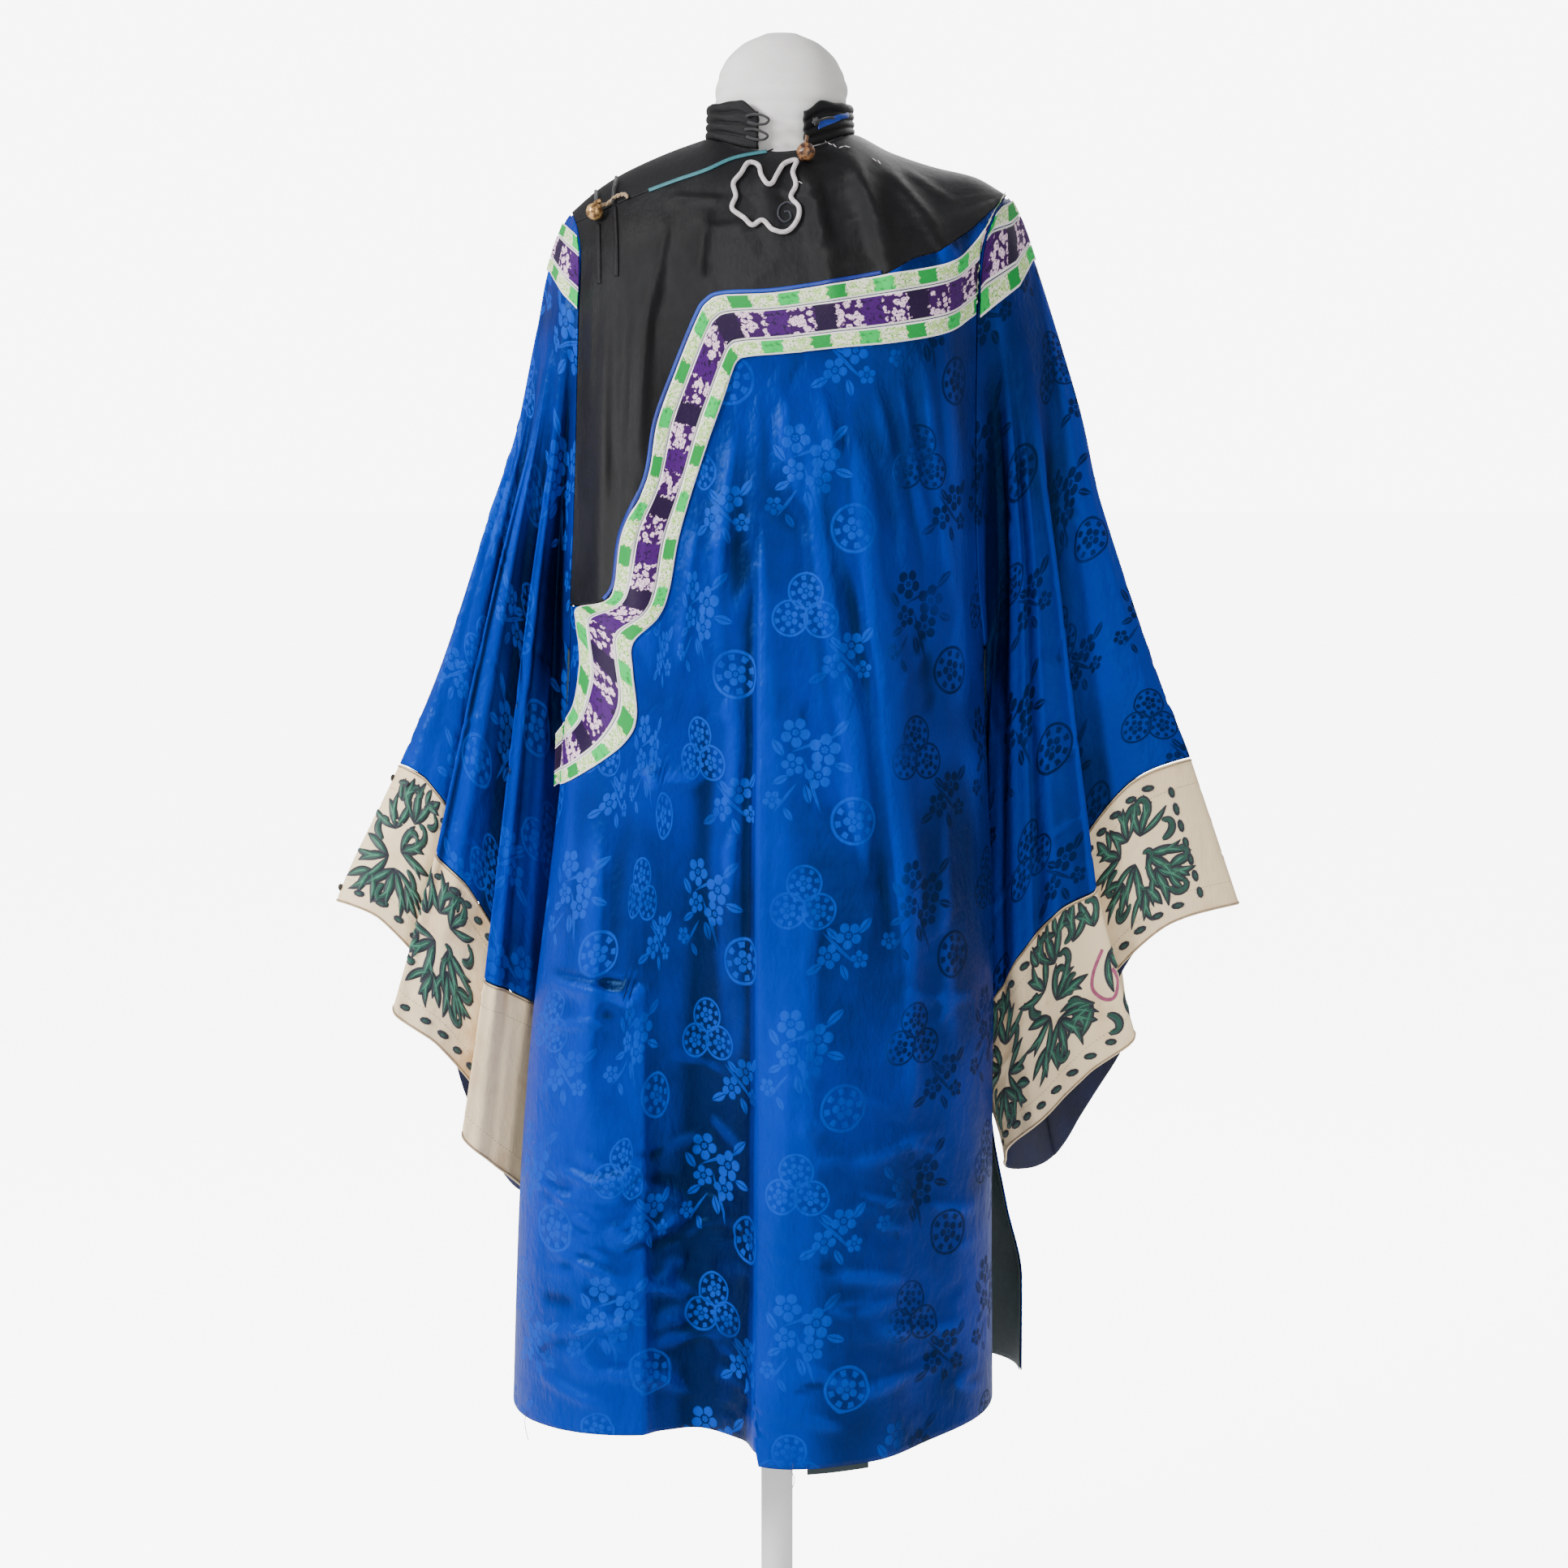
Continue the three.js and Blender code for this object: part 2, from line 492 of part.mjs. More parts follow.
function sleeveShape(sleeve) {
  const edge = sleeve.side < 0 ? armholeX.left : armholeX.right;
  const armpit = Math.hypot(edge(ARMPIT) - sleeve.tip.x, sleeve.tip.z - ARMPIT);
  const outer = curve(sleeve.outer, "from", "angle");
  const last = sleeve.folds.length - 1;
  const armpitAt = armpit / sleeve.folds[0].cuff;
  const angleOf = (x, z) => deg(Math.atan2(sleeve.side * (x - sleeve.tip.x), sleeve.tip.z - z));
  function foldPoint(k, v) {
    const f = sleeve.folds[k];
    const distance = v <= 1 ? f.cuff * v : mix(f.cuff, f.mouth, v - 1);
    const front = k <= sleeve.outerFold;
    const share = front ? k / sleeve.outerFold : (last - k) / (last - sleeve.outerFold);
    const spot = armholeSpot(sleeve, Math.min(distance, armpit));
    const open = distance < armpit - 0.01;
    const spread = open ? 0 : ease(armpit, armpit + FAN.tuck, distance);
    const innerAngle = mix(angleOf(spot.x, spot.z), sleeve.folds[0].cuffAngle, spread);
    const innerDepth = open ? bodyY(front ? -1 : 1, spot.x, spot.z) : sleeve.folds[0].depth * spread;
    const foldAngle = v <= 1 ? f.cuffAngle : mix(f.cuffAngle, f.mouthAngle, v - 1);
    const end = k === 0 || k === last;
    const loose = end ? 0 : ease(FAN.foldsFrom, FAN.foldsFull, distance);
    const bulge = (front ? -1 : 1) * FAN.bulge * Math.sin(Math.PI * share) * ease(0, 60, distance);
    const plain = mix(innerAngle, outer(distance), share);
    const mouth = end ? mix(innerAngle, f.mouthAngle, ease(1, 2, v)) : foldAngle;
    const angle = k === sleeve.outerFold ? outer(distance) : mix(plain, mouth, end ? 1 : loose);
    const y = mix(innerDepth * (1 - share) + bulge, f.depth, loose);
    const z = sleeve.tip.z - distance * Math.cos(rad(angle));
    const away = mix(FAN.seamGap, FAN.sideGap, ease(ARMPIT, ARMPIT - 70, z));
    const least = (z > ARMPIT ? edge(z) : bodySide(sleeve.side, y, z)) * sleeve.side + away;
    const reach = Math.max(distance * Math.sin(rad(angle)), least - sleeve.side * sleeve.tip.x);
    const x = sleeve.tip.x + sleeve.side * reach;
    return new THREE.Vector3(x, y, z);
  }
  return { foldPoint, last, armpitAt };
}
// Two steps from one fold line to the next, on a curve through their neighbours
function sleeveSheet(sleeve, stops) {
  const { foldPoint, last, armpitAt } = sleeveShape(sleeve);
  const ringAt = (v) => {
    const ring = Array.from({ length: last + 1 }, (_, k) => foldPoint(k, v));
    const shut = v >= armpitAt - 1e-6;
    const at = (k) => {
      if (k < 0 && shut) return ring[last + k];
      if (k < 0) return ring[0].clone().multiplyScalar(2).sub(ring[1]);
      if (k > last && shut) return ring[k - last];
      if (k > last) return ring[last].clone().multiplyScalar(2).sub(ring[last - 1]);
      return ring[k];
    };
    const points = [];
    for (let k = 0; k < last; k++) {
      const half = at(k).clone().add(at(k + 1)).multiplyScalar(9 / 16);
      points.push(at(k), half.sub(at(k - 1).clone().add(at(k + 2)).multiplyScalar(1 / 16)));
    }
    return [...points, at(last)];
  };
  const rings = stops.map(ringAt);
  return gridSheet(stops.length, rings[0].length, (i, j) => rings[i][j], {
    flip: sleeve.side < 0,
    closed: (i) => stops[i] >= armpitAt - 1e-6,
  });
}
// The rows of silk, then of the cuff: the faces between them are the seam's gap
function wholeSleeve(sleeve) {
  const { armpitAt } = sleeveShape(sleeve);
  const open = LENGTHS.body.filter((v) => v < armpitAt - 0.04);
  const below = LENGTHS.below.map((s) => mix(armpitAt, 1 - CUFF_SEAM.silk, s));
  const silk = [...open, armpitAt, ...below];
  const sheet = sleeveSheet(sleeve, [...silk, 1, 1 + CUFF_SEAM.cuff, ...LENGTHS.cuff.map((s) => 1 + s)]);
  const columns = (sleeve.folds.length - 1) * 2;
  return { sheet, seamRow: silk.length - 1, topRows: open.length - 1, columns };
}

// Outlines seen from the front
const RIBBON_TOP = [
  { x: 202, z: 1352 },
  { x: 187, z: 1342 },
  { x: 159.5, z: 1306.3 },
  { x: 137.7, z: 1290.5 },
  { x: 85.2, z: 1279.7 },
  { x: 40.7, z: 1271.6 },
  { x: -2.8, z: 1265.3 },
  { x: -42.5, z: 1263.4 },
  { x: -55, z: 1258 },
  { x: -62.8, z: 1246.1 },
  { x: -80, z: 1205 },
  { x: -95.7, z: 1162.7 },
  { x: -104, z: 1117.3 },
  { x: -124.5, z: 1072.5 },
  { x: -131.1, z: 1031.9 },
  { x: -139.5, z: 1017.7 },
];
const RIBBON_FOOT = [
  { x: 214, z: 1306 },
  { x: 201.8, z: 1275.9 },
  { x: 162.2, z: 1250 },
  { x: 137.9, z: 1234.6 },
  { x: 97.1, z: 1226.2 },
  { x: 48.6, z: 1221.4 },
  { x: 8, z: 1217 },
  { x: -22, z: 1214.5 },
  { x: -30.8, z: 1211 },
  { x: -36, z: 1200 },
  { x: -43, z: 1180 },
  { x: -51.8, z: 1155 },
  { x: -69, z: 1103 },
  { x: -79.1, z: 1067.1 },
  { x: -86.6, z: 1027 },
  { x: -95.9, z: 1005.2 },
];
// The ribbon's turned end at the side seam, from its outer edge at the flap's corner round to the seam
const RIBBON_END_TOP = [
  { x: -166, z: 1009 },
  { x: -168, z: 997 },
  { x: -165, z: 977 },
  { x: -165, z: 957 },
  { x: -172, z: 924 },
  { x: -190, z: 898 },
];
const RIBBON_END_FOOT = [
  { x: -116.2, z: 984.3 },
  { x: -117, z: 961.4 },
  { x: -114, z: 924.6 },
  { x: -122, z: 904.1 },
  { x: -145, z: 883.7 },
  { x: -192, z: 852 },
];
const EDGE_RIBBON = 0.26; // each green ribbon's share of the whole width
const BLACK_RIGHT = [
  { x: 212, z: 1366 },
  { x: 187.4, z: 1347 },
  { x: 159.7, z: 1320.4 },
  { x: 131.6, z: 1300.7 },
  { x: 111, z: 1295 },
  { x: 85.2, z: 1279.7 },
];
const OPENING = [
  { x: -2, z: 1384 },
  { x: -7.6, z: 1381.3 },
  { x: -34, z: 1375.6 },
  { x: -56.9, z: 1365.2 },
  { x: -80.1, z: 1357.9 },
  { x: -103.7, z: 1350.2 },
  { x: -124.1, z: 1343.1 },
  { x: -146.1, z: 1334.1 },
  { x: -180, z: 1322 },
];
// The back's ribbon: an arc between the shoulders' ribbons
const BACK_TOP = [
  { x: -178, z: 1322 },
  { x: -163, z: 1309 },
  { x: -125, z: 1283 },
  { x: -60, z: 1268 },
  { x: 6, z: 1264 },
  { x: 70, z: 1268 },
  { x: 130, z: 1284 },
  { x: 159.5, z: 1306.3 },
  { x: 187, z: 1342 },
];
const BACK_FOOT = [
  { x: -176, z: 1262 },
  { x: -160, z: 1250 },
  { x: -118, z: 1226 },
  { x: -60, z: 1213 },
  { x: 6, z: 1209 },
  { x: 70, z: 1213 },
  { x: 126, z: 1227 },
  { x: 162.2, z: 1250 },
  { x: 201.8, z: 1275.9 },
];
const LEFT_SHOULDER_TOP = [
  { x: -196, z: 1345 },
  { x: -188.6, z: 1335.6 },
  { x: -175, z: 1326 },
  { x: -152.9, z: 1305.6 },
];
const LEFT_SHOULDER_FOOT = [
  { x: -205, z: 1296 },
  { x: -189, z: 1288 },
  { x: -176, z: 1268 },
  { x: -155, z: 1246 },
];

const RIGHT_SHOULDER_TOP = [
  { x: 216, z: 1364 },
  { x: 196, z: 1346 },
  { x: 187, z: 1341 },
  { x: 160, z: 1306 },
];
const RIGHT_SHOULDER_FOOT = [
  { x: 226, z: 1302 },
  { x: 214, z: 1297 },
  { x: 201, z: 1275 },
  { x: 162, z: 1244 },
];

// The line a share of the way between two outlines, and the band between two such lines
const between = (top, foot, share) =>
  top.map((p, i) => ({ x: mix(p.x, foot[i].x, share), z: mix(p.z, foot[i].z, share) }));
const band = (top, foot, from, to, side) =>
  prism([...between(top, foot, from), ...between(top, foot, to).reverse()], side);
// A narrow strip along a line, some way to each side of it
function strip(line, left, right, side) {
  const normalAt = (i) => {
    const a = line[Math.max(i - 1, 0)];
    const b = line[Math.min(i + 1, line.length - 1)];
    const length = Math.hypot(b.x - a.x, b.z - a.z);
    return { x: -(b.z - a.z) / length, z: (b.x - a.x) / length };
  };
  const edge = (off) => line.map((p, i) => ({ x: p.x + normalAt(i).x * off, z: p.z + normalAt(i).z * off }));
  return prism([...edge(right), ...edge(-left).reverse()], side);
}
// The parts that a cut leaves, the ones whose middle passes the test
function partsOf(solid, test) {
  const kept = solid.decompose().filter((part) => {
    const box = part.boundingBox();
    const middle = { x: (box.min[0] + box.max[0]) / 2, z: (box.min[2] + box.max[2]) / 2 };
    return part.volume() > 20 && test({ ...middle, box });
  });
  return geometryOf(wasm.Manifold.union(kept));
}

const COLORS = {
  silk: 0x0f4fc0,
  black: 0x25262c,
  green: 0x8fc9a0,
  purple: 0x6d2a86,
  cream: 0xe6d8bb,
  teal: 0x3f7f92,
  lining: 0x10323c,
  brass: 0xb9945a,
  brown: 0x4a2c1e,
  form: 0xf1f0ee,
  stand: 0xe9e9ea,
};
const robe = new THREE.Group();
robe.name = "silk_robe";
function add(name, geometry, color, roughness = 0.6) {
  geometry.computeVertexNormals();
  const mesh = new THREE.Mesh(geometry, new THREE.MeshStandardMaterial({ color: COLORS[color], roughness }));
  mesh.name = name;
  robe.add(mesh);
}

const LINING = { from: -CLOTH - 0.5 - 0.8, to: -CLOTH - 0.5 };
// A cut solid without the slivers that the cuts leave
function light(solid, blur = 0.15) {
  const parts = solid.simplify(blur).decompose();
  return geometryOf(wasm.Manifold.union(parts.filter((part) => part.volume() > 20)));
}
// Ribbons stop just short of the armholes, where two cloths turn in to meet
function armholeGuard(which) {
  const line = [1345, 1330, 1310, 1290, 1260, 1230, 1200].map((z) => ({ x: armholeX[which](z), z }));
  const inner = which === "left" ? 1 : -1;
  const edge = (off) => line.map((p) => ({ x: p.x + inner * off, z: p.z }));
  const outline = [...edge(GUARD.inside), ...edge(-GUARD.outside).reverse()];
  return wasm.Manifold.union(prism(outline, -1), prism(outline, 1));
}

// Front and back panels, cut into yokes and silk
const frontSheet = panelSheet(-1);
const backSheet = panelSheet(1);
const frontWall = solidOf(wall(frontSheet, -CLOTH, 0)).subtract(prism(neckOutline(-1), -1));
const backWall = solidOf(wall(backSheet, -CLOTH, 0)).subtract(prism(neckOutline(1), 1));
const yokeSeam = [
  ...BLACK_RIGHT.map((p) => ({ ...p, z: p.z - 1 })),
  ...between(RIBBON_TOP, RIBBON_FOOT, 0.12).slice(5),
  { x: -150, z: 1012 },
  { x: -200, z: 1006 },
];
const frontParts = frontWall.subtract(strip(yokeSeam, SEAM, SEAM, -1));
const blackFront = solidOf(partsOf(frontParts, (c) => c.box.min[2] > 900));
const blackParts = blackFront.subtract(strip(OPENING, SEAM, SEAM, -1));
add("front_silk", partsOf(frontParts, (c) => c.box.min[2] < 900), "silk");
add("front_yoke", partsOf(blackParts, (c) => c.box.min[2] < 1200), "black");
add("shoulder_yoke", partsOf(blackParts, (c) => c.box.min[2] > 1200), "black");
const backSeam = between(BACK_TOP, BACK_FOOT, 0.12);
const backParts = backWall.subtract(strip(backSeam, SEAM, SEAM, 1));
add("back_silk", partsOf(backParts, (c) => c.box.min[2] < 900), "silk");
add("back_yoke", partsOf(backParts, (c) => c.box.min[2] > 900), "black");

// Ribbons on the body, each in three strips side by side
const guards = wasm.Manifold.union(armholeGuard("left"), armholeGuard("right"));
const frontSkin = solidOf(wall(frontSheet, TRIM_GAP, TRIM_GAP + RIBBON)).subtract(guards);
const backSkin = solidOf(wall(backSheet, TRIM_GAP, TRIM_GAP + RIBBON)).subtract(guards);
const frontTop = [...RIBBON_TOP, ...RIBBON_END_TOP];
const frontFoot = [...RIBBON_FOOT, ...RIBBON_END_FOOT];
const STRIPS = [
  { name: "upper", from: 0, to: EDGE_RIBBON - 0.007, color: "green" },
  { name: "centre", from: EDGE_RIBBON + 0.007, to: 1 - EDGE_RIBBON - 0.007, color: "purple" },
  { name: "lower", from: 1 - EDGE_RIBBON + 0.007, to: 1, color: "green" },
];
for (const s of STRIPS) {
  const frontBand = band(frontTop, frontFoot, s.from, s.to, -1);
  const backBand = band(BACK_TOP, BACK_FOOT, s.from, s.to, 1);
  add(`front_ribbon_${s.name}`, light(frontSkin.intersect(frontBand)), s.color);
  add(`back_ribbon_${s.name}`, light(backSkin.intersect(backBand)), s.color);
}

// Sleeves
for (const [name, sleeve, top, foot] of [
  ["left", LEFT_SLEEVE, LEFT_SHOULDER_TOP, LEFT_SHOULDER_FOOT],
  ["right", RIGHT_SLEEVE, RIGHT_SHOULDER_TOP, RIGHT_SHOULDER_FOOT],
]) {
  const { sheet, seamRow, topRows, columns } = wholeSleeve(sleeve);
  const isSilk = (i) => i < seamRow;
  const silk = wall(sheet, -CLOTH, 0, isSilk);
  add(`sleeve_${name}`, silk, "silk");
  const isCuff = (i) => i > seamRow + 1;
  const roomFor = (keep) => solidOf(wall(sheet, -CLOTH - SEAM, SEAM, keep));
  const besideSilk = roomFor((i) => i <= seamRow);
  const cuff = solidOf(wall(sheet, -CLOTH, 0, isCuff)).subtract(besideSilk).subtract(solidOf(silk));
  add(`cuff_${name}`, light(cuff, 0.01), "cream");
  // the lining shows inside the cuff's back
  const inside = (i, j) => i > seamRow + 1 && j >= sleeve.liningFrom && j < columns - 2;
  const lining = solidOf(wall(sheet, LINING.from, LINING.to, inside)).subtract(roomFor(isCuff));
  add(`cuff_lining_${name}`, light(lining, 0.05), "lining");
  // ribbons right round the top of the sleeve
  const overTop = solidOf(wall(sheet, TRIM_GAP, TRIM_GAP + RIBBON, (i) => i < topRows));
  const skin = overTop.subtract(armholeGuard(name));
  for (const s of STRIPS) {
    const inFront = band(top, foot, s.from, s.to, -1);
    const behind = band(top, foot, s.from, s.to, 1);
    const through = wasm.Manifold.union(inFront, behind);
    add(`${name}_sleeve_ribbon_${s.name}`, light(skin.intersect(through), 0.18), s.color);
  }
}

// Linings where they show: behind the back panel's right edge and under the front hem
const sideFaces = (i, j) => i < 5 && j >= BACK_COLUMNS - 4;
add("back_lining", wall(backSheet, LINING.from, LINING.to, sideFaces), "lining");
const underHem = (i, j) => bodyPoint(-1, mix(26, 78, j / 5), mix(299, 350, i / 2));
const hemLining = gridSheet(3, 6, underHem, { flip: true });
add("hem_lining", wall(hemLining, LINING.from - 0.9, LINING.to - 0.9), "lining");

// The standing collar: a ridged band round the neck, open at the front
const collarFrom = Math.asin((COLLAR.opensFrom - NECK.x) / NECK.halfWidth);
const collarTo = Math.asin((COLLAR.opensTo - NECK.x) / NECK.halfWidth) - 2 * Math.PI;
const COLLAR_STEPS = 20;
const collarSheet = gridSheet(COLLAR.ridges * 2 + 1, COLLAR_STEPS + 1, (i, j) => {
  const angle = mix(collarFrom, collarTo, j / COLLAR_STEPS);
  const end = Math.min(j, COLLAR_STEPS - j);
  const up = i / (COLLAR.ridges * 2);
  const foot = neckPoint(angle, -1.2);
  const flare = neckPoint(angle, (i % 2 ? COLLAR.ridgeOut : 0) - 1.2 - 1.2 * up);
  const top = COLLAR.top - 10 * (1 - ease(0, 2, end));
  return new THREE.Vector3(flare.x, flare.y, mix(foot.z - 1, top, up));
});
add("collar", wall(collarSheet, -COLLAR.wall, 0), "black");

// Trims on the flap
const trimSkin = solidOf(wall(frontSheet, TRIM_GAP, TRIM_GAP + 1));
const trim = (cutter) => light(trimSkin.intersect(cutter));
add("opening_piping", trim(strip(OPENING.slice(1, 6), 1.8, 1.8, -1)), "teal");
add("yoke_piping", trim(strip(RIBBON_TOP.slice(4), 3.8, -0.7, -1)), "silk");
// The flap's two hanging tails, and the loop that holds its button
const TAIL_OUTER = [
  { x: -146, z: 1324 },
  { x: -145, z: 1300 },
  { x: -144.6, z: 1275 },
];
const TAIL_INNER = [
  { x: -132.6, z: 1338 },
  { x: -130, z: 1310 },
  { x: -129.2, z: 1280 },
];
const LOOP = [
  { x: -137, z: 1339 },
  { x: -131, z: 1345 },
  { x: -124, z: 1347 },
];
add("tail_outer", trim(strip(TAIL_OUTER, 1.8, 1.8, -1)), "black");
add("tail_inner", trim(strip(TAIL_INNER, 1.8, 1.8, -1)), "black");
add("shoulder_loop", trim(strip(LOOP, 1.4, 1.4, -1)), "brass");

function ball(radius, at) {
  const g = new THREE.SphereGeometry(radius, 12, 7);
  g.translate(at.x, at.y, at.z);
  return mergeVertices(g.deleteAttribute("normal").deleteAttribute("uv"), 1e-4);
}
// A place in front of the cloth, square out from it
function offFront(x, z, out) {
  const slopeX = (bodyY(-1, x + 1, z) - bodyY(-1, x - 1, z)) / 2;
  const slopeZ = (bodyY(-1, x, z + 1) - bodyY(-1, x, z - 1)) / 2;
  return bodyPoint(-1, x, z).addScaledVector(new THREE.Vector3(slopeX, -1, slopeZ).normalize(), out);
}
add("neck_button", ball(8, offFront(24, 1374, 7.7)), "brown");
add("shoulder_button", ball(7.5, offFront(-145, 1330, 7.5)), "brass");
const knot = neckPoint(Math.asin((31 - NECK.x) / NECK.halfWidth), 1.4 + 1.8);
add("collar_knot", ball(3.6, knot.setZ(1406)), "black");

// The dress form: a torso without limbs, its neck and cap, on a pole and a round base
const FORM = [
  { z: 760, half: 146, front: 96, back: 80 },
  { z: 800, half: 154, front: 104, back: 84 },
  { z: 860, half: 154, front: 102, back: 84 },
  { z: 1010, half: 126, front: 92, back: 78 },
  { z: 1180, half: 146, front: 106, back: 86 },
  { z: 1280, half: 150, front: 96, back: 90 },
  { z: 1325, half: 146, front: 82, back: 80 },
  { z: 1353, half: 122, front: 68, back: 67 },
  { z: 1371, half: 86, front: 58, back: 58 },
  { z: 1385, half: 54, front: 49.4, back: 49.8 },
  { z: 1400, half: 51.8, front: 48, back: 48 },
  { z: 1435, half: 55, front: 47, back: 47 },
  { z: 1458, half: 48, front: 43, back: 43 },
  { z: 1474, half: 33, front: 31, back: 31 },
  { z: 1483, half: 14, front: 13, back: 13 },
];
const form = columns(FORM, "z");
const FORM_SIDES = 20;
const formRows = [
  760, 780, 820, 900, 1010, 1090, 1180, 1250, 1300, 1330,
  1353, 1371, 1385, 1410, 1440, 1458, 1470, 1479, 1483,
];
const formPoints = [];
for (const z of formRows)
  for (let k = 0; k < FORM_SIDES; k++) {
    const a = (2 * Math.PI * k) / FORM_SIDES;
    const power = 2 / 2.2;
    const c = Math.sign(Math.cos(a)) * Math.abs(Math.cos(a)) ** power;
    const d = Math.sign(Math.sin(a)) * Math.abs(Math.sin(a)) ** power;
    formPoints.push(new THREE.Vector3(4 + form.half(z) * c, (d < 0 ? form.front(z) : form.back(z)) * d, z));
  }
const formFaces = [];
for (let i = 0; i + 1 < formRows.length; i++)
  for (let k = 0; k < FORM_SIDES; k++) {
    const [a, b] = [i * FORM_SIDES + k, i * FORM_SIDES + ((k + 1) % FORM_SIDES)];
    formFaces.push(a, b, b + FORM_SIDES, a, b + FORM_SIDES, a + FORM_SIDES);
  }
const topRow = (formRows.length - 1) * FORM_SIDES;
for (let k = 1; k + 1 < FORM_SIDES; k++) {
  formFaces.push(0, k + 1, k);
  formFaces.push(topRow, topRow + k, topRow + k + 1);
}
const torso = new THREE.BufferGeometry();
const torsoNumbers = formPoints.flatMap((v) => [v.x, v.y, v.z]);
torso.setAttribute("position", new THREE.Float32BufferAttribute(torsoNumbers, 3));
torso.setIndex(formFaces);
add("form_torso", torso, "form");
const STAND = { poleRadius: 14, baseRadius: 150, baseHeight: 12 };
function upright(geometry, z) {
  geometry.rotateX(Math.PI / 2).translate(0, 0, z);
  return mergeVertices(geometry.deleteAttribute("normal").deleteAttribute("uv"), 1e-4);
}
const poleLength = 760 - STAND.baseHeight - 0.6;
const pole = new THREE.CylinderGeometry(STAND.poleRadius, STAND.poleRadius, poleLength, 24);
const base = new THREE.CylinderGeometry(STAND.baseRadius - 6, STAND.baseRadius, STAND.baseHeight, 48);
add("form_pole", upright(pole, STAND.baseHeight + 0.3 + poleLength / 2), "stand", 0.4);
add("form_base", upright(base, STAND.baseHeight / 2), "stand", 0.4);

export default robe;
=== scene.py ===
# Looks for a wide-sleeved blue silk robe with a black yoke, ribbon borders and embroidered cuffs,
# worn by a limbless dress form. The shapes are worked out in millimetres and turned into metres
# when a mesh is made. Left and right are as seen from the front.
import bpy
import math
import numpy as np
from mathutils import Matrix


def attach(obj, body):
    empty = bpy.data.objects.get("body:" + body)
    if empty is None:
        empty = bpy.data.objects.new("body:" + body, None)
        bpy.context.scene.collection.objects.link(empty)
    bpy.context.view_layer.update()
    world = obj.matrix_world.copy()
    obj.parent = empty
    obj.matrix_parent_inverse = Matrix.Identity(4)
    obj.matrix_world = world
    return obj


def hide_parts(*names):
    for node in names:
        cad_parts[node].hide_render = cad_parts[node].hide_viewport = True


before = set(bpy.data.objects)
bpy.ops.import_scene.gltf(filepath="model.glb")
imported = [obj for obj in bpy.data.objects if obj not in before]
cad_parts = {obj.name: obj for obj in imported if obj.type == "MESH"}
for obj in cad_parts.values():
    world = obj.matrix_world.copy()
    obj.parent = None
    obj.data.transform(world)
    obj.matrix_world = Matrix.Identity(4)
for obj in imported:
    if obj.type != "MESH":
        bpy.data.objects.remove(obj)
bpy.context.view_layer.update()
print("frame loaded")

# ---- camera, floor and light
cameraSet = {"place": (0.0063, -2.300, 1.150), "looksAt": (0.0063, 0.0, 0.854), "lens": 61.73, "sensor": 36.0}
lightSet = {
    "key": {"place": (-2.3, -1.5, 2.2), "aim": (0, 0, 0.85), "size": 0.8, "power": 165},
    "fill": {"place": (1.2, -2.6, 1.5), "aim": (0, 0, 0.8), "size": 1.4, "power": 26},
    "rim": {"place": (0.8, 2.2, 2.3), "aim": (0, 0, 1.0), "size": 1.6, "power": 40},
    "sky": 0.6, "backdrop": 8.0, "floorGlow": 6.9,
}


def aimed(thing, place, target):
    way = np.subtract(target, place)
    thing.location = place
    thing.rotation_euler = (
        math.atan2(math.hypot(way[0], way[1]), -way[2]),
        0,
        math.atan2(way[1], way[0]) - math.pi / 2,
    )
    bpy.context.scene.collection.objects.link(thing)


cameraData = bpy.data.cameras.new("camera")
cameraData.lens = cameraSet["lens"]
cameraData.sensor_width = cameraSet["sensor"]
cameraObject = bpy.data.objects.new("camera", cameraData)
aimed(cameraObject, cameraSet["place"], cameraSet["looksAt"])
bpy.context.scene.camera = cameraObject
for lampName in ("key", "fill", "rim"):
    lampFacts = lightSet[lampName]
    lamp = bpy.data.lights.new(lampName, "AREA")
    lamp.energy = lampFacts["power"]
    lamp.size = lampFacts["size"]
    aimed(bpy.data.objects.new(lampName, lamp), lampFacts["place"], lampFacts["aim"])
world = bpy.data.worlds.new("studio")
world.use_nodes = True
world.node_tree.nodes["Background"].inputs[0].default_value = (1, 1, 1, 1)
skyTree = world.node_tree
skySeen, skyLevel = skyTree.nodes.new("ShaderNodeLightPath"), skyTree.nodes.new("ShaderNodeMapRange")
skyLevel.inputs["To Min"].default_value = lightSet["sky"]  # the light it gives
skyLevel.inputs["To Max"].default_value = lightSet["backdrop"]  # and the white studio that is seen
skyTree.links.new(skySeen.outputs["Is Camera Ray"], skyLevel.inputs["Value"])
skyTree.links.new(skyLevel.outputs["Result"], skyTree.nodes["Background"].inputs[1])
bpy.context.scene.world = world
print("camera and lights set")

# ---- node helpers
fullTurn = 6.2832


def feed(tree, socket, value):
    if hasattr(value, "is_output"):
        tree.links.new(value, socket)
    else:
        socket.default_value = value


def addNode(tree, kind, inputs=(), **settings):
    node = tree.nodes.new(kind)
    for key, value in settings.items():
        setattr(node, key, value)
    for key, value in dict(inputs).items():
        feed(tree, node.inputs[key], value)
    return node


def calc(tree, operation, *values):
    return addNode(tree, "ShaderNodeMath", enumerate(values), operation=operation).outputs[0]


def mathsIn(tree):  # sums in one node tree
    return lambda operation, *values: calc(tree, operation, *values)


def partsOf(tree, vector):
    return addNode(tree, "ShaderNodeSeparateXYZ", {0: vector}).outputs


def step(tree, value, low, high):  # 0 below low, 1 above high, soft between
    limits = {"Value": value, "From Min": low, "From Max": high}
    return addNode(tree, "ShaderNodeMapRange", limits, interpolation_type="SMOOTHSTEP").outputs["Result"]


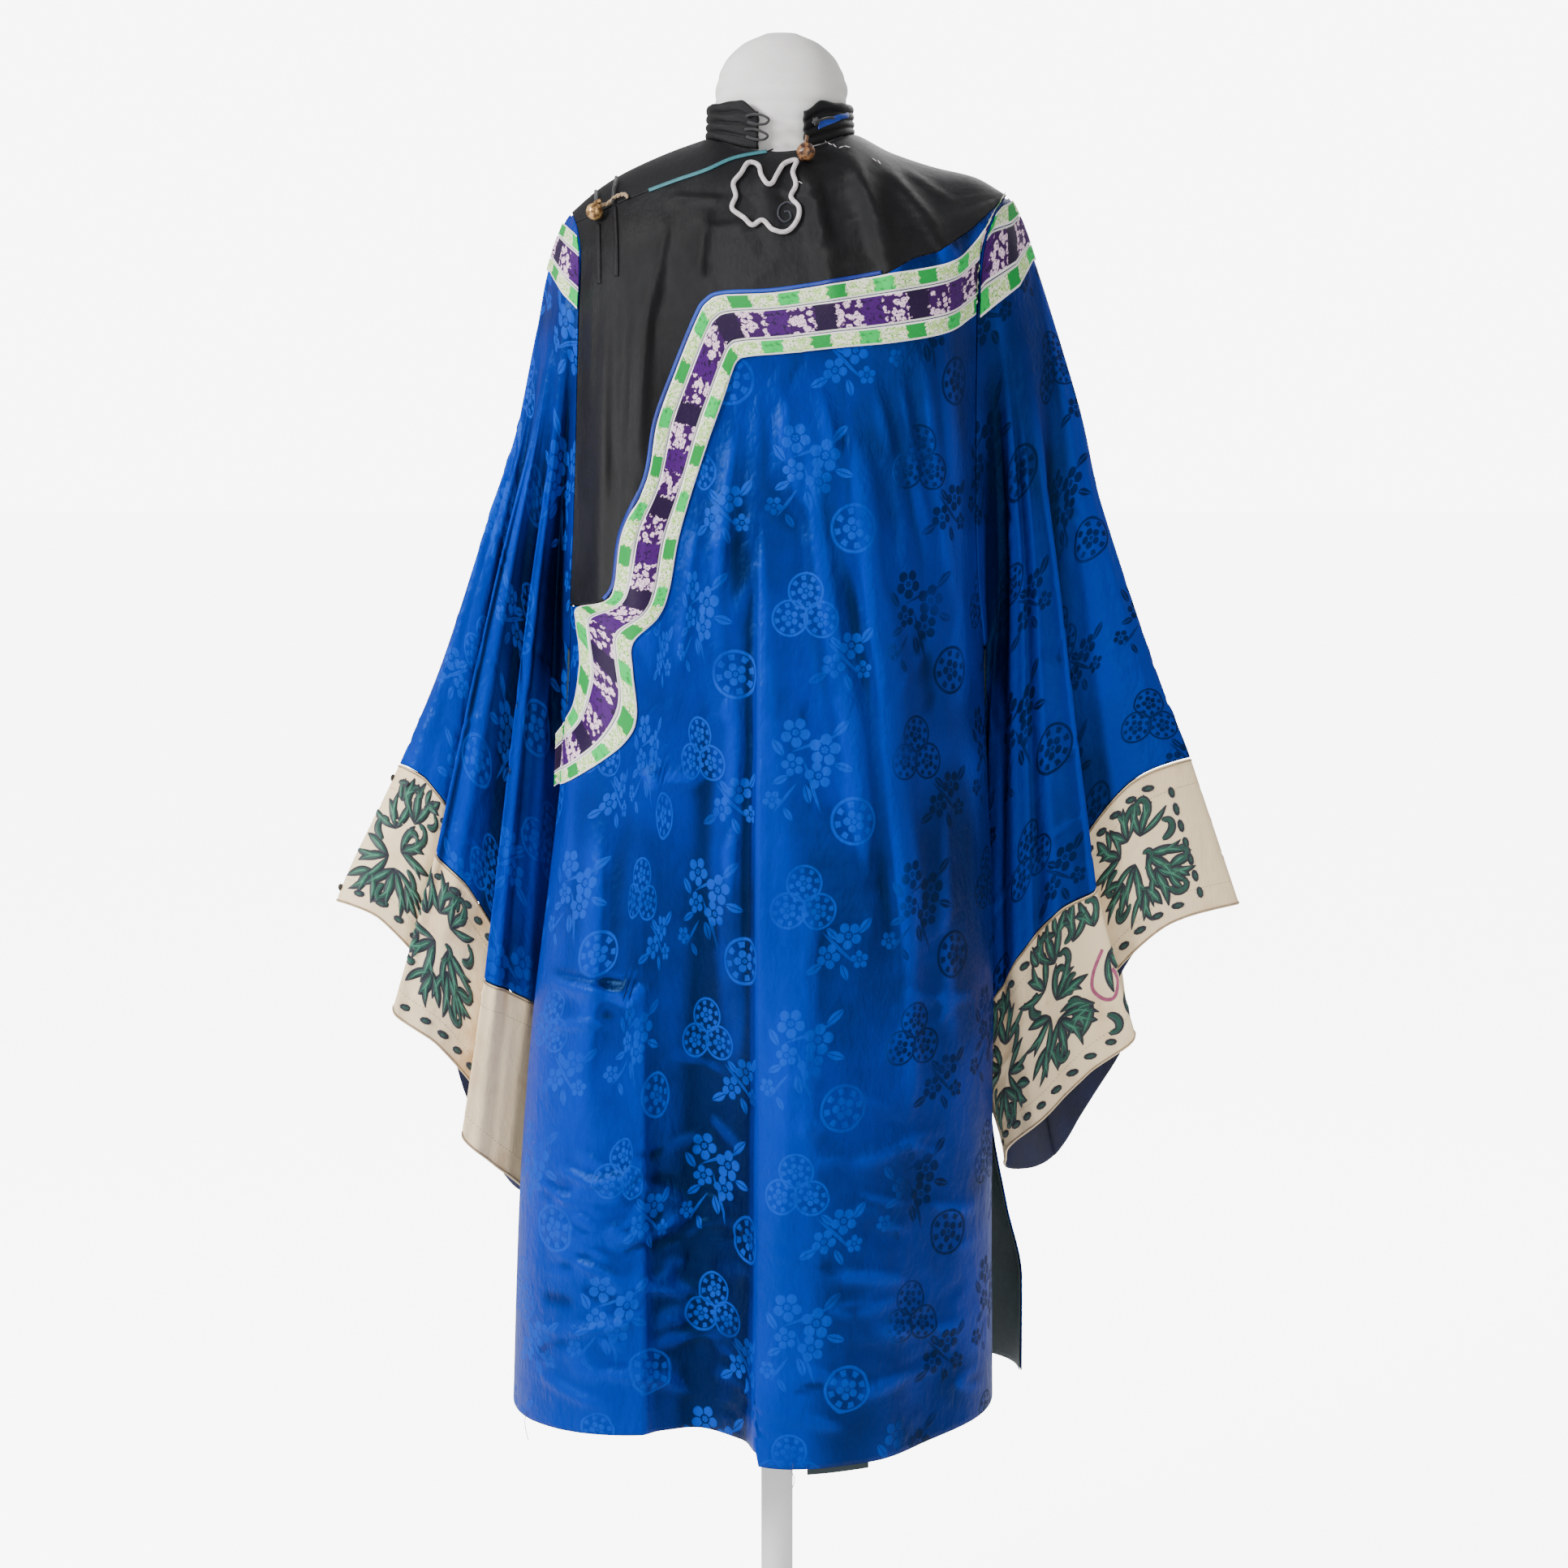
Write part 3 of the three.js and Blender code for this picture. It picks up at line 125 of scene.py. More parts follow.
def blendColours(tree, factor, first, second):
    return addNode(tree, "ShaderNodeMix", {0: factor, 6: first, 7: second}, data_type="RGBA").outputs[2]


def noise(tree, vector, scale, detail=3.0, roughness=0.5, stretch=None):
    if stretch:
        vector = addNode(tree, "ShaderNodeMapping", {"Vector": vector, "Scale": stretch}).outputs[0]
    inputs = {"Vector": vector, "Scale": scale, "Detail": detail, "Roughness": roughness}
    return addNode(tree, "ShaderNodeTexNoise", inputs).outputs[0]


def newGroup(name, inputs, outputs):  # an input without a value is a vector, all others are numbers
    tree = bpy.data.node_groups.new(name, "ShaderNodeTree")
    for socketName, value in inputs.items():
        kind = "NodeSocketVector" if value is None else "NodeSocketFloat"
        socket = tree.interface.new_socket(socketName, in_out="INPUT", socket_type=kind)
        if value is not None:
            socket.default_value = value
    for socketName in outputs:
        tree.interface.new_socket(socketName, in_out="OUTPUT", socket_type="NodeSocketFloat")
    return tree, tree.nodes.new("NodeGroupInput").outputs, tree.nodes.new("NodeGroupOutput").inputs, mathsIn(tree)


def useGroup(tree, group, **values):
    return addNode(tree, "ShaderNodeGroup", values, node_tree=group).outputs


def newMaterial(name, **settings):
    material = bpy.data.materials.new(name)
    material.use_nodes = True
    tree = material.node_tree
    shader = tree.nodes["Principled BSDF"]
    for socketName, value in settings.items():
        shader.inputs[socketName.replace("_", " ")].default_value = value
    return material, tree, shader


def cutUv(tree):
    return addNode(tree, "ShaderNodeUVMap", uv_map="cut").outputs[0]


def objectPlace(tree):
    return tree.nodes.new("ShaderNodeTexCoord").outputs["Object"]


def bump(tree, height, distance, strength, normal=None):
    inputs = {"Strength": strength, "Distance": distance, "Height": height}
    if normal is not None:
        inputs["Normal"] = normal
    return addNode(tree, "ShaderNodeBump", inputs).outputs[0]


def finishShader(tree, shader, colour, roughness, normal):
    for socketName, value in (("Base Color", colour), ("Roughness", roughness), ("Normal", normal)):
        if value is not None:
            tree.links.new(value, shader.inputs[socketName])


# Woven threads: a fine over-and-under height
weaveGroup, weaveIn, weaveOut, maths = newGroup("weave", {"Place": None, "Pitch": 0.0009}, ["Height"])
weavePlace = partsOf(weaveGroup, weaveIn["Place"])
weaveTurns = maths("DIVIDE", fullTurn, weaveIn["Pitch"])
weaveWarp, weaveWeft = (maths("SINE", maths("MULTIPLY", weavePlace[k], weaveTurns)) for k in (0, 1))
feed(weaveGroup, weaveOut[0], maths("MULTIPLY_ADD", maths("MULTIPLY", weaveWarp, weaveWeft), 0.5, 0.5))

# Soft crumple: fine uneven wrinkles that cloth keeps from being folded away
crumpleGroup, crumpleIn, crumpleOut, maths = newGroup("crumple", {"Place": None}, ["Height"])
crumpleFine = noise(crumpleGroup, crumpleIn[0], 26, 4, 0.62, (1.0, 1.0, 0.55))
crumpleBroad = noise(crumpleGroup, crumpleIn[0], 9, 3, 0.5, (1.3, 1.0, 0.8))
crumpleSharp = maths("ABSOLUTE", maths("SUBTRACT", crumpleFine, 0.5))
feed(crumpleGroup, crumpleOut[0], maths("ADD", crumpleSharp, crumpleBroad))

# Folds: masks for painted shade where the cloth lies below what is about it, and for painted highlight where it stands
# above, from depths in millimetres
foldShadeGroup, foldIn, foldOut, maths = newGroup("folds", {"Deepest": 3.0}, ["Valley", "RidgeHighlight"])
foldDepth = addNode(foldShadeGroup, "ShaderNodeAttribute", attribute_name="hollow").outputs["Fac"]
foldRise = maths("SUBTRACT", 0.0, foldDepth)
for k, height, start, share in ((0, foldDepth, 0.3, 0.84), (1, foldRise, 0.7, 0.55)):
    feed(foldShadeGroup, foldOut[k], maths("MULTIPLY", step(foldShadeGroup, height, start, foldIn["Deepest"]), share))


def polar(maths, inputs):  # distance from the middle, in sizes, and the angle round it
    u, v = inputs["U"], inputs["V"]
    squares = maths("ADD", maths("MULTIPLY", u, u), maths("MULTIPLY", v, v))
    return maths("DIVIDE", maths("SQRT", squares), inputs["Size"]), maths("ARCTAN2", v, u)


# One blossom of the damask: five round petals about a small heart
blossomGroup, blossomIn, blossomOut, maths = newGroup("blossom", {"U": 0, "V": 0, "Size": 0.013, "Turn": 0}, ["Mask"])
blossomR, blossomAngle = polar(maths, blossomIn)
blossomLobe = maths("ABSOLUTE", maths("COSINE", maths("MULTIPLY", maths("ADD", blossomAngle, blossomIn["Turn"]), 2.5)))
blossomEdge = maths("MULTIPLY_ADD", maths("POWER", blossomLobe, 0.45), 0.62, 0.38)
blossomPetals = step(blossomGroup, maths("SUBTRACT", blossomEdge, blossomR), 0.0, 0.1)
blossomHeart = step(blossomGroup, maths("ABSOLUTE", maths("SUBTRACT", blossomR, 0.27)), 0.03, 0.09)
blossomVein = step(blossomGroup, maths("MULTIPLY", blossomLobe, maths("ADD", blossomR, 0.35)), 0.1, 0.25)
feed(blossomGroup, blossomOut[0], maths("MULTIPLY", blossomPetals, maths("MULTIPLY", blossomHeart, blossomVein)))

# One leaf: pointed at both ends, with a vein down the middle
leafGroup, leafIn, leafOut, maths = newGroup(
    "leaf", {"U": 0, "V": 0, "Angle": 0, "Length": 0.01, "Width": 0.004}, ["Mask"])
leafU, leafV = leafIn["U"], leafIn["V"]
leafCos, leafSin = maths("COSINE", leafIn["Angle"]), maths("SINE", leafIn["Angle"])
leafAlong = maths("ADD", maths("MULTIPLY", leafU, leafCos), maths("MULTIPLY", leafV, leafSin))
leafAlong = maths("DIVIDE", leafAlong, leafIn["Length"])
leafAcross = maths("SUBTRACT", maths("MULTIPLY", leafV, leafCos), maths("MULTIPLY", leafU, leafSin))
leafAcross = maths("ABSOLUTE", maths("DIVIDE", leafAcross, leafIn["Width"]))
leafRoom = maths("SUBTRACT", 1.0, maths("MULTIPLY", leafAlong, leafAlong))
leafBody = step(leafGroup, maths("SUBTRACT", leafRoom, leafAcross), 0.0, 0.2)
feed(leafGroup, leafOut[0], maths("MULTIPLY", leafBody, step(leafGroup, leafAcross, 0.03, 0.16)))

# One roundel: two rings with a small blossom and eight dots between
roundelGroup, roundelIn, roundelOut, maths = newGroup("roundel", {"U": 0, "V": 0, "Size": 0.02}, ["Mask"])
roundelR, roundelAngle = polar(maths, roundelIn)
roundelRing = step(roundelGroup, maths("ABSOLUTE", maths("SUBTRACT", roundelR, 0.94)), 0.09, 0.04)
roundelBand = step(roundelGroup, maths("ABSOLUTE", maths("SUBTRACT", roundelR, 0.7)), 0.15, 0.1)
roundelWave = step(roundelGroup, maths("SINE", maths("MULTIPLY", roundelAngle, 8.0)), -0.1, 0.35)
roundelHeart = useGroup(roundelGroup, blossomGroup, U=roundelIn["U"], V=roundelIn["V"],
                        Size=maths("MULTIPLY", roundelIn["Size"], 0.5), Turn=0.6)[0]
roundelInner = maths("MAXIMUM", maths("MULTIPLY", roundelWave, roundelBand), roundelHeart)
feed(roundelGroup, roundelOut[0], maths("MAXIMUM", roundelRing, roundelInner))

# The damask: flowering sprays and roundels in half-dropped columns, in millimetres from the middle of a tile
damaskSet = {
    "tile": (0.104, 0.236),
    "blossoms": [(-22, 88, 13, 0.2), (2, 74, 14, 1.1), (-24, 62, 10, 0.7), (-3, 53, 12, 2.0), (26, -78, 12, 0.4),
                 (9, -94, 11, 1.4), (36, -98, 8, 0.9), (-41, 34, 8, 0.3)],
    "leaves": [(-36, 76, 2.2, 9, 4), (16, 92, 0.7, 10, 4), (18, 60, -0.3, 9, 4), (-12, 38, -1.3, 9, 4),
               (-34, 50, 3.6, 8, 3.5), (40, -70, 0.9, 9, 4), (12, -76, 2.4, 8, 3.5), (-4, -104, 3.6, 9, 4),
               (22, -108, -1.2, 8, 3.5), (-28, 22, -1.0, 7, 3)],
    "stems": [(-8, 44, -1.25, 26, 1.6), (-4, 80, 0.35, 26, 1.5), (18, -88, -0.75, 22, 1.6), (-30, 36, 0.9, 16, 1.4)],
    "roundels": [(27, 16, 20), (-14, -34, 15), (-27, -56, 15), (-1, -57, 15)],
}
damaskGroup, damaskIn, damaskOut, maths = newGroup("damask", {"Place": None}, ["Pattern"])
damaskPlace = partsOf(damaskGroup, damaskIn[0])
tileWide, tileHigh = damaskSet["tile"]
damaskColumn = maths("DIVIDE", damaskPlace[0], tileWide)
damaskShift = maths("MULTIPLY", maths("MODULO", maths("ABSOLUTE", maths("FLOOR", damaskColumn)), 2.0), 0.5)
damaskRow = maths("ADD", maths("DIVIDE", damaskPlace[1], tileHigh), damaskShift)
damaskU = maths("MULTIPLY", maths("SUBTRACT", maths("FRACT", damaskColumn), 0.5), tileWide)
damaskV = maths("MULTIPLY", maths("SUBTRACT", maths("FRACT", damaskRow), 0.5), tileHigh)
damaskParts = []


def damaskPart(group, u, v, **values):
    shiftedU = calc(damaskGroup, "SUBTRACT", damaskU, u / 1000)
    shiftedV = calc(damaskGroup, "SUBTRACT", damaskV, v / 1000)
    damaskParts.append(useGroup(damaskGroup, group, U=shiftedU, V=shiftedV, **values)[0])


for u, v, size, turn in damaskSet["blossoms"]:
    damaskPart(blossomGroup, u, v, Size=size / 1000, Turn=turn)
for u, v, angle, length, width in damaskSet["leaves"] + damaskSet["stems"]:
    damaskPart(leafGroup, u, v, Angle=angle, Length=length / 1000, Width=width / 1000)
for u, v, size in damaskSet["roundels"]:
    damaskPart(roundelGroup, u, v, Size=size / 1000)
while len(damaskParts) > 1:
    damaskParts.append(maths("MAXIMUM", damaskParts.pop(0), damaskParts.pop(0)))
feed(damaskGroup, damaskOut[0], damaskParts[0])
print("damask drawn")

# ---- materials
colours = {
    "silkDeep": (0.0, 0.0042, 0.058, 1), "silkBright": (0.0, 0.0125, 0.195, 1),
    "silkFlower": (0.0006, 0.044, 0.375, 1), "silkShadow": (0.0, 0.0010, 0.014, 1),
    "silkRidgeHighlight": (0.0, 0.030, 0.370, 1), "black": (0.0012, 0.0012, 0.0018, 1), "blackWorn": (0.005, 0.005, 0.007, 1),
    "blackShadow": (0.0002, 0.0002, 0.0003, 1), "cream": (0.97, 0.76, 0.46, 1), "creamTanAndShade": (0.62, 0.37, 0.16, 1),
    "green": (0.0, 0.48, 0.08, 1), "greenDeep": (0.0, 0.26, 0.04, 1), "paleGreen": (0.50, 0.74, 0.26, 1),
    "greenSpeckle": (0.86, 0.86, 0.66, 1), "greenSpeck": (0.06, 0.28, 0.03, 1), "purple": (0.048, 0.0, 0.110, 1),
    "purpleDeep": (0.010, 0.0, 0.026, 1), "purpleGround": (0.030, 0.0, 0.065, 1), "purpleSpeck": (0.05, 0.0, 0.10, 1),
    "pink": (0.86, 0.60, 0.76, 1), "white": (0.88, 0.86, 0.82, 1), "teal": (0.018, 0.11, 0.135, 1),
    "tealWorn": (0.03, 0.16, 0.19, 1), "lining": (0.0015, 0.012, 0.016, 1), "liningWorn": (0.003, 0.020, 0.026, 1),
    "navy": (0.0006, 0.002, 0.022, 1), "navyWorn": (0.001, 0.006, 0.060, 1), "form": (0.80, 0.79, 0.77, 1),
    "formWorn": (0.70, 0.69, 0.67, 1), "brass": (0.60, 0.36, 0.14, 1), "brassDark": (0.16, 0.08, 0.03, 1),
    "bead": (0.26, 0.12, 0.045, 1), "beadDark": (0.035, 0.012, 0.006, 1), "paint": (0.80, 0.80, 0.80, 1),
    "paintDust": (0.68, 0.67, 0.65, 1), "floor": (0.90, 0.90, 0.90, 1), "floorWorn": (0.88, 0.88, 0.88, 1),
    "glow": (1, 1, 1, 1),
}


def crumpled(tree, place, distance, strength):
    return bump(tree, useGroup(tree, crumpleGroup, Place=place)[0], distance, strength)


def shaded(tree, colour, deepest, shadow, light):  # darker with painted shade down in the folds, lighter with a painted highlight along their ridges
    valley, ridge = useGroup(tree, foldShadeGroup, Deepest=deepest)[:2]
    return blendColours(tree, ridge, blendColours(tree, valley, colour, shadow), light)


def silkMaterial(name, dark, bright, flower, shadow, ridge):
    material, tree, shader = newMaterial(
        name, Roughness=0.38, Specular_IOR_Level=0.32, Specular_Tint=(0.1, 0.4, 1.0, 1), Sheen_Weight=0.012,
        Sheen_Tint=(0.1, 0.35, 1.0, 1), Sheen_Roughness=0.35, Anisotropic=0.35)
    maths, uv, place = mathsIn(tree), cutUv(tree), objectPlace(tree)
    pattern = useGroup(tree, damaskGroup, Place=uv)[0]
    mottle = noise(tree, place, 5.5, 4, 0.55)
    # the ground's colour with painted shade in the folds and a painted highlight along their ridges
    ground = shaded(tree, blendColours(tree, step(tree, mottle, 0.34, 0.66), dark, bright), 3.0, shadow, ridge)
    worn = maths("MULTIPLY_ADD", step(tree, noise(tree, place, 17, 2), 0.3, 0.5), 0.6, 0.4)
    shine = maths("MULTIPLY_ADD", noise(tree, place, 60, 2), 0.5, 0.55)
    lift = maths("MULTIPLY", maths("MULTIPLY", pattern, worn), shine)
    turned = maths("ADD", partsOf(tree, place)[0], maths("MULTIPLY", mottle, 0.08))
    tone = blendColours(tree, step(tree, turned, 0.115, 0.155), flower, shadow)  # painted shade: darker towards the right, where the cloth turns away from the light
    rough = maths("MULTIPLY_ADD", mottle, 0.10, maths("MULTIPLY_ADD", pattern, 0.16, 0.36))
    weave = useGroup(tree, weaveGroup, Place=uv, Pitch=0.0011)[0]
    relief = maths("ADD", maths("MULTIPLY", pattern, 0.7), maths("MULTIPLY", weave, 0.3))
    normal = bump(tree, relief, 0.0003, 0.5, crumpled(tree, place, 0.009, 0.55))
    finishShader(tree, shader, blendColours(tree, lift, ground, tone), rough, normal)
    return material


def plainCloth(name, base, worn, pitch=0.0009, roughness=0.6, crumple=0.004, wornFrom=0.35, shade=None, **settings):
    material, tree, shader = newMaterial(name, Roughness=roughness, **settings)
    place = objectPlace(tree)
    mottle = noise(tree, place, 14, 5, 0.6)
    colour = blendColours(tree, step(tree, mottle, wornFrom, wornFrom + 0.3), base, worn)
    # painted shade in the folds, when a shade colour is given
    if shade:
        colour = shaded(tree, colour, 2.4, shade, base)
    weave = useGroup(tree, weaveGroup, Place=cutUv(tree), Pitch=pitch)[0]
    normal = bump(tree, weave, 0.0003, 0.6, crumpled(tree, place, crumple, 0.5))
    finishShader(tree, shader, colour, calc(tree, "MULTIPLY_ADD", mottle, 0.15, roughness - 0.07), normal)
    return material


def ribbonMaterial(name, tones, period, filled, width, cellScale):
    block, blockDeep, ground, speckle, speck = (colours[tone] for tone in tones)
    material, tree, shader = newMaterial(name, Roughness=0.55, Sheen_Weight=0.02, Specular_IOR_Level=0.2)
    maths, uv = mathsIn(tree), cutUv(tree)
    alongPlace, acrossPlace = partsOf(tree, uv)[:2]
    along = maths("DIVIDE", alongPlace, period)
    second = maths("MODULO", maths("FLOOR", along), 2.0)
    ragged = maths("MULTIPLY_ADD", noise(tree, uv, 300, 2), 0.22, maths("SUBTRACT", maths("FRACT", along), 0.11))
    isBlock = maths("MULTIPLY", step(tree, ragged, 0.05, 0.08), step(tree, ragged, filled + 0.08, filled + 0.05))
    cells = addNode(tree, "ShaderNodeTexVoronoi", {"Scale": cellScale, "Vector": uv}).outputs["Distance"]
    frayed = maths("MULTIPLY", maths("SUBTRACT", noise(tree, uv, 420, 2), 0.5), 0.5)
    flowers = step(tree, maths("ADD", cells, frayed), 0.58, 0.48)
    groundColour = blendColours(tree, flowers, ground, speckle)
    groundColour = blendColours(tree, step(tree, noise(tree, uv, 640, 2), 0.56, 0.62), groundColour, speck)
    blockColour = blendColours(tree, second, block, blockDeep)
    blockColour = blendColours(tree, step(tree, noise(tree, uv, 260, 2), 0.52, 0.66), blockColour, blockDeep)
    rim = maths("ABSOLUTE", maths("SUBTRACT", acrossPlace, width / 2))
    rimMask = step(tree, rim, width / 2 - 0.0018, width / 2 - 0.0012)
    colour = blendColours(tree, rimMask, blendColours(tree, isBlock, groundColour, blockColour), colours["white"])
    ribs = maths("SINE", maths("MULTIPLY", alongPlace, fullTurn / 0.0008))
    relief = maths("ADD", maths("MULTIPLY", ribs, 0.4), maths("MULTIPLY", flowers, 0.6))
    finishShader(tree, shader, colour, None, bump(tree, relief, 0.0003, 0.6))
    return material


def buttonMaterial(name, base, dark, metal):
    material, tree, shader = newMaterial(name, Roughness=0.34, Metallic=metal)
    spots = noise(tree, objectPlace(tree), 260, 3, 0.6)
    colour = blendColours(tree, step(tree, spots, 0.40, 0.60), dark, base)
    finishShader(tree, shader, colour, calc(tree, "MULTIPLY_ADD", spots, 0.3, 0.22), bump(tree, spots, 0.0004, 0.6))
    return material


def paintMaterial(name, base, dusty):
    material, tree, shader = newMaterial(name, Roughness=0.32, Specular_IOR_Level=0.5)
    place = objectPlace(tree)
    dust = noise(tree, place, 8, 5, 0.6)
    colour = blendColours(tree, step(tree, dust, 0.35, 0.8), base, dusty)
    normal = bump(tree, noise(tree, place, 350, 2), 0.0002, 0.3)
    finishShader(tree, shader, colour, calc(tree, "MULTIPLY_ADD", dust, 0.25, 0.22), normal)
    return material


ribbonWidths = {"green": 15.0, "purple": 27.8}
looks = {
    "silk": silkMaterial("blueDamask", *(colours["silk" + tone] for tone in ("Deep", "Bright", "Flower", "Shadow",
                                                                             "RidgeHighlight"))),
    "black": plainCloth("blackSatin", colours["black"], colours["blackWorn"], roughness=0.46, Specular_IOR_Level=0.22,
                        shade=colours["blackShadow"], Sheen_Weight=0.01),
    # cream: tan patches at random, and the same tan as painted shade in the folds
    "cream": plainCloth("creamSatin", colours["cream"], colours["creamTanAndShade"], roughness=0.42, wornFrom=0.47,
                        shade=colours["creamTanAndShade"], crumple=0.008, Sheen_Weight=0.03),
    "teal": plainCloth("tealPiping", colours["teal"], colours["tealWorn"], roughness=0.5),
    "bluePiping": plainCloth("bluePiping", colours["silkBright"], colours["silkFlower"], roughness=0.4),
    "lining": plainCloth("darkLining", colours["lining"], colours["liningWorn"], roughness=0.5),
    "navy": plainCloth("navyLining", colours["navy"], colours["navyWorn"], roughness=0.45),
    "green": ribbonMaterial("greenRibbon", ("green", "greenDeep", "paleGreen", "greenSpeckle", "greenSpeck"),
                            0.0395, 0.42, ribbonWidths["green"] / 1000, 300),
    "purple": ribbonMaterial("purpleRibbon", ("purple", "purpleDeep", "purpleGround", "pink", "purpleSpeck"),
                             0.0390, 0.46, ribbonWidths["purple"] / 1000, 185),
    "form": plainCloth("formCloth", colours["form"], colours["formWorn"], pitch=0.0014, roughness=0.8, crumple=0.002),
    "brass": buttonMaterial("agedBrass", colours["brass"], colours["brassDark"], 0.6),
    "brown": buttonMaterial("brownBead", colours["bead"], colours["beadDark"], 0.1),
    "paint": paintMaterial("standPaint", colours["paint"], colours["paintDust"]),
}


def threadMaterial(name, base):
    material, tree, shader = newMaterial(name, Roughness=0.5, Sheen_Weight=0.2)
    maths, place = mathsIn(tree), objectPlace(tree)
    placeX, _, placeZ = partsOf(tree, place)
    slant = maths("ADD", placeX, maths("MULTIPLY", placeZ, 0.6))
    strands = maths("SINE", maths("MULTIPLY", slant, fullTurn / 0.0006))
    tone = maths("MULTIPLY", maths("ADD", noise(tree, place, 240, 2), maths("MULTIPLY", strands, 0.18)), 0.9)
    shade = (*(0.55 * part for part in base[:3]), 1)
    colour = blendColours(tree, step(tree, tone, 0.25, 0.75), shade, base)
    finishShader(tree, shader, colour, None, bump(tree, strands, 0.00015, 0.7))
    return material


threads = {word: threadMaterial(name, tone) for word, name, tone in (
    ("ink", "inkThread", (0.010, 0.016, 0.030, 1)), ("leaf", "leafThread", (0.006, 0.095, 0.060, 1)),
    ("pale", "paleLeafThread", (0.055, 0.28, 0.17, 1)), ("rose", "roseThread", (0.55, 0.10, 0.24, 1)),
    ("white", "whiteThread", (0.82, 0.74, 0.76, 1)), ("tan", "tanThread", (0.52, 0.36, 0.20, 1)),
    ("blue", "blueThread", colours["silkBright"]), ("black", "blackThread", (0.012, 0.012, 0.014, 1)))}
floorMaterial, floorTree, floorShader = newMaterial("paleFloor", Roughness=0.9, Emission_Color=colours["glow"])
floorColour = blendColours(floorTree, noise(floorTree, objectPlace(floorTree), 2.0), colours["floor"],
                           colours["floorWorn"])
floorSeen = floorTree.nodes.new("ShaderNodeLightPath").outputs["Is Camera Ray"]  # seen, but it lights nothing
feed(floorTree, floorShader.inputs["Base Color"], floorColour)
feed(floorTree, floorShader.inputs["Emission Strength"], calc(floorTree, "MULTIPLY", floorSeen, lightSet["floorGlow"]))
print("materials made")

# ---- shapes of the cloth, in millimetres: x to the right, y away from the camera, z up


def mix(a, b, t):
    return a + (b - a) * t


def ease(low, high, value):
    t = np.clip((value - low) / (high - low), 0, 1)
    return t * t * (3 - 2 * t)


def curve(xs, ys):  # smooth through the points, never past its neighbours
    x, y = np.array(xs, float), np.array(ys, float)
    slope = np.diff(y) / np.diff(x)
    tangent = np.empty(len(x))
    tangent[0], tangent[-1] = slope[0], slope[-1]
    same = slope[:-1] * slope[1:] > 0
    total = np.where(same, slope[:-1] + slope[1:], 1)
    tangent[1:-1] = np.where(same, 2 * slope[:-1] * slope[1:] / total, 0)

    def at(value):
        v = np.clip(value, x[0], x[-1])
        i = np.clip(np.searchsorted(x, v, side="left") - 1, 0, len(x) - 2)
        width = x[i + 1] - x[i]
        t = (v - x[i]) / width
        return ((2 * t**3 - 3 * t**2 + 1) * y[i] + (t**3 - 2 * t**2 + t) * width * tangent[i]
                + (3 * t**2 - 2 * t**3) * y[i + 1] + (t**3 - t**2) * width * tangent[i + 1])

    return at


def line(points):  # straight between points that are sorted by x
    ordered = sorted(points)
    return lambda x: np.interp(x, [p[0] for p in ordered], [p[1] for p in ordered])


def columnsOf(rows):
    table = np.array(rows, float)
    return [curve(table[:, 0], table[:, k]) for k in range(1, table.shape[1])]


robe = {
    "cloth": 1.2, "seam": 0.4, "roundness": 2.4, "armpit": 970.0, "slitTop": 850.0, "trimGap": 0.5, "ribbon": 1.1,
    "creaseGain": 1.75, "hollowReach": 24.0,
    # height: reach to the left, to the right, to the front and to the back
    "rings": [(312, -232, 190, 154, 138), (491, -225, 188, 148, 132), (651, -212, 188, 141, 124),
              (759, -198, 186, 135, 118), (865, -185, 181, 129, 112), (970, -176, 177, 126, 108),
              (1080, -180, 182, 124, 110), (1200, -184, 190, 120, 110), (1300, -186, 198, 106, 100),
              (1350, -180, 198, 88, 84), (1400, -174, 194, 72, 70)],
    # height: the back's two sides below the slits, and how far front and back edges stand from the middle
    "slits": [(312, -214, 222, 10, 50), (400, -210, 221, 8, 46), (470, -207, 206, 5, 38), (560, -203, 190, 2, 22),
              (700, -199, 184, 0.5, 8), (850, -186.7, 181.6, 0.4, 0.4)],
    "shoulder": [(-171.5, 1338), (-150, 1356), (-133, 1367), (-106, 1380), (-72, 1393), (-50, 1399), (56, 1403),
                 (97, 1386), (131, 1375), (165, 1367), (193, 1352)],
    "armholeLeft": [(970, -176), (985, -175.5), (1020, -174), (1080, -170), (1250, -163), (1300, -161), (1320, -164),
                    (1338, -171.5)],
    "armholeRight": [(970, 177), (985, 175), (1020, 170), (1080, 166.5), (1245, 165), (1300, 168), (1330, 178),
                     (1352, 193)],
    "neck": {"x": 3.0, "half": 62.0, "front": 60.0, "back": 58.0},
    "valley": {"depth": 18.0, "width": 19.0, "low": 930.0, "high": 1330.0, "fade": 60.0},
    "hem": {"left": 316.0, "middle": 305.0, "right": 318.0, "back": 312.0},
}
# folds: top x, top z, foot x, foot z, run to full depth, stands out, width to the left, width to the right
frontFolds = [
    (-12, 1230, -17, 312, 500, 22, 6, 105), (-70, 1000, -84, 312, 500, -34, 85, 62),
    (-50, 900, -62, 312, 400, -18, 30, 34), (-115, 900, -114, 312, 420, 8, 60, 9), (16, 1220, 64, 870, 120, 9, 13, 24),
    (54, 1220, 104, 800, 120, 9, 12, 24), (138, 1230, 172, 860, 100, 8, 12, 12), (-50, 1140, -34, 700, 160, 9, 14, 18),
    (120, 700, 128, 312, 380, -8, 26, 34), (22, 1376, 44, 1270, 50, 4, 7, 12), (58, 1392, 92, 1280, 50, 5, 8, 12),
    (80, 1388, 138, 1300, 50, 5, 8, 12), (-104, 1310, -116, 1010, 120, 9, 14, 20),
    (-142, 1240, -146, 1010, 80, 6, 9, 10),
]
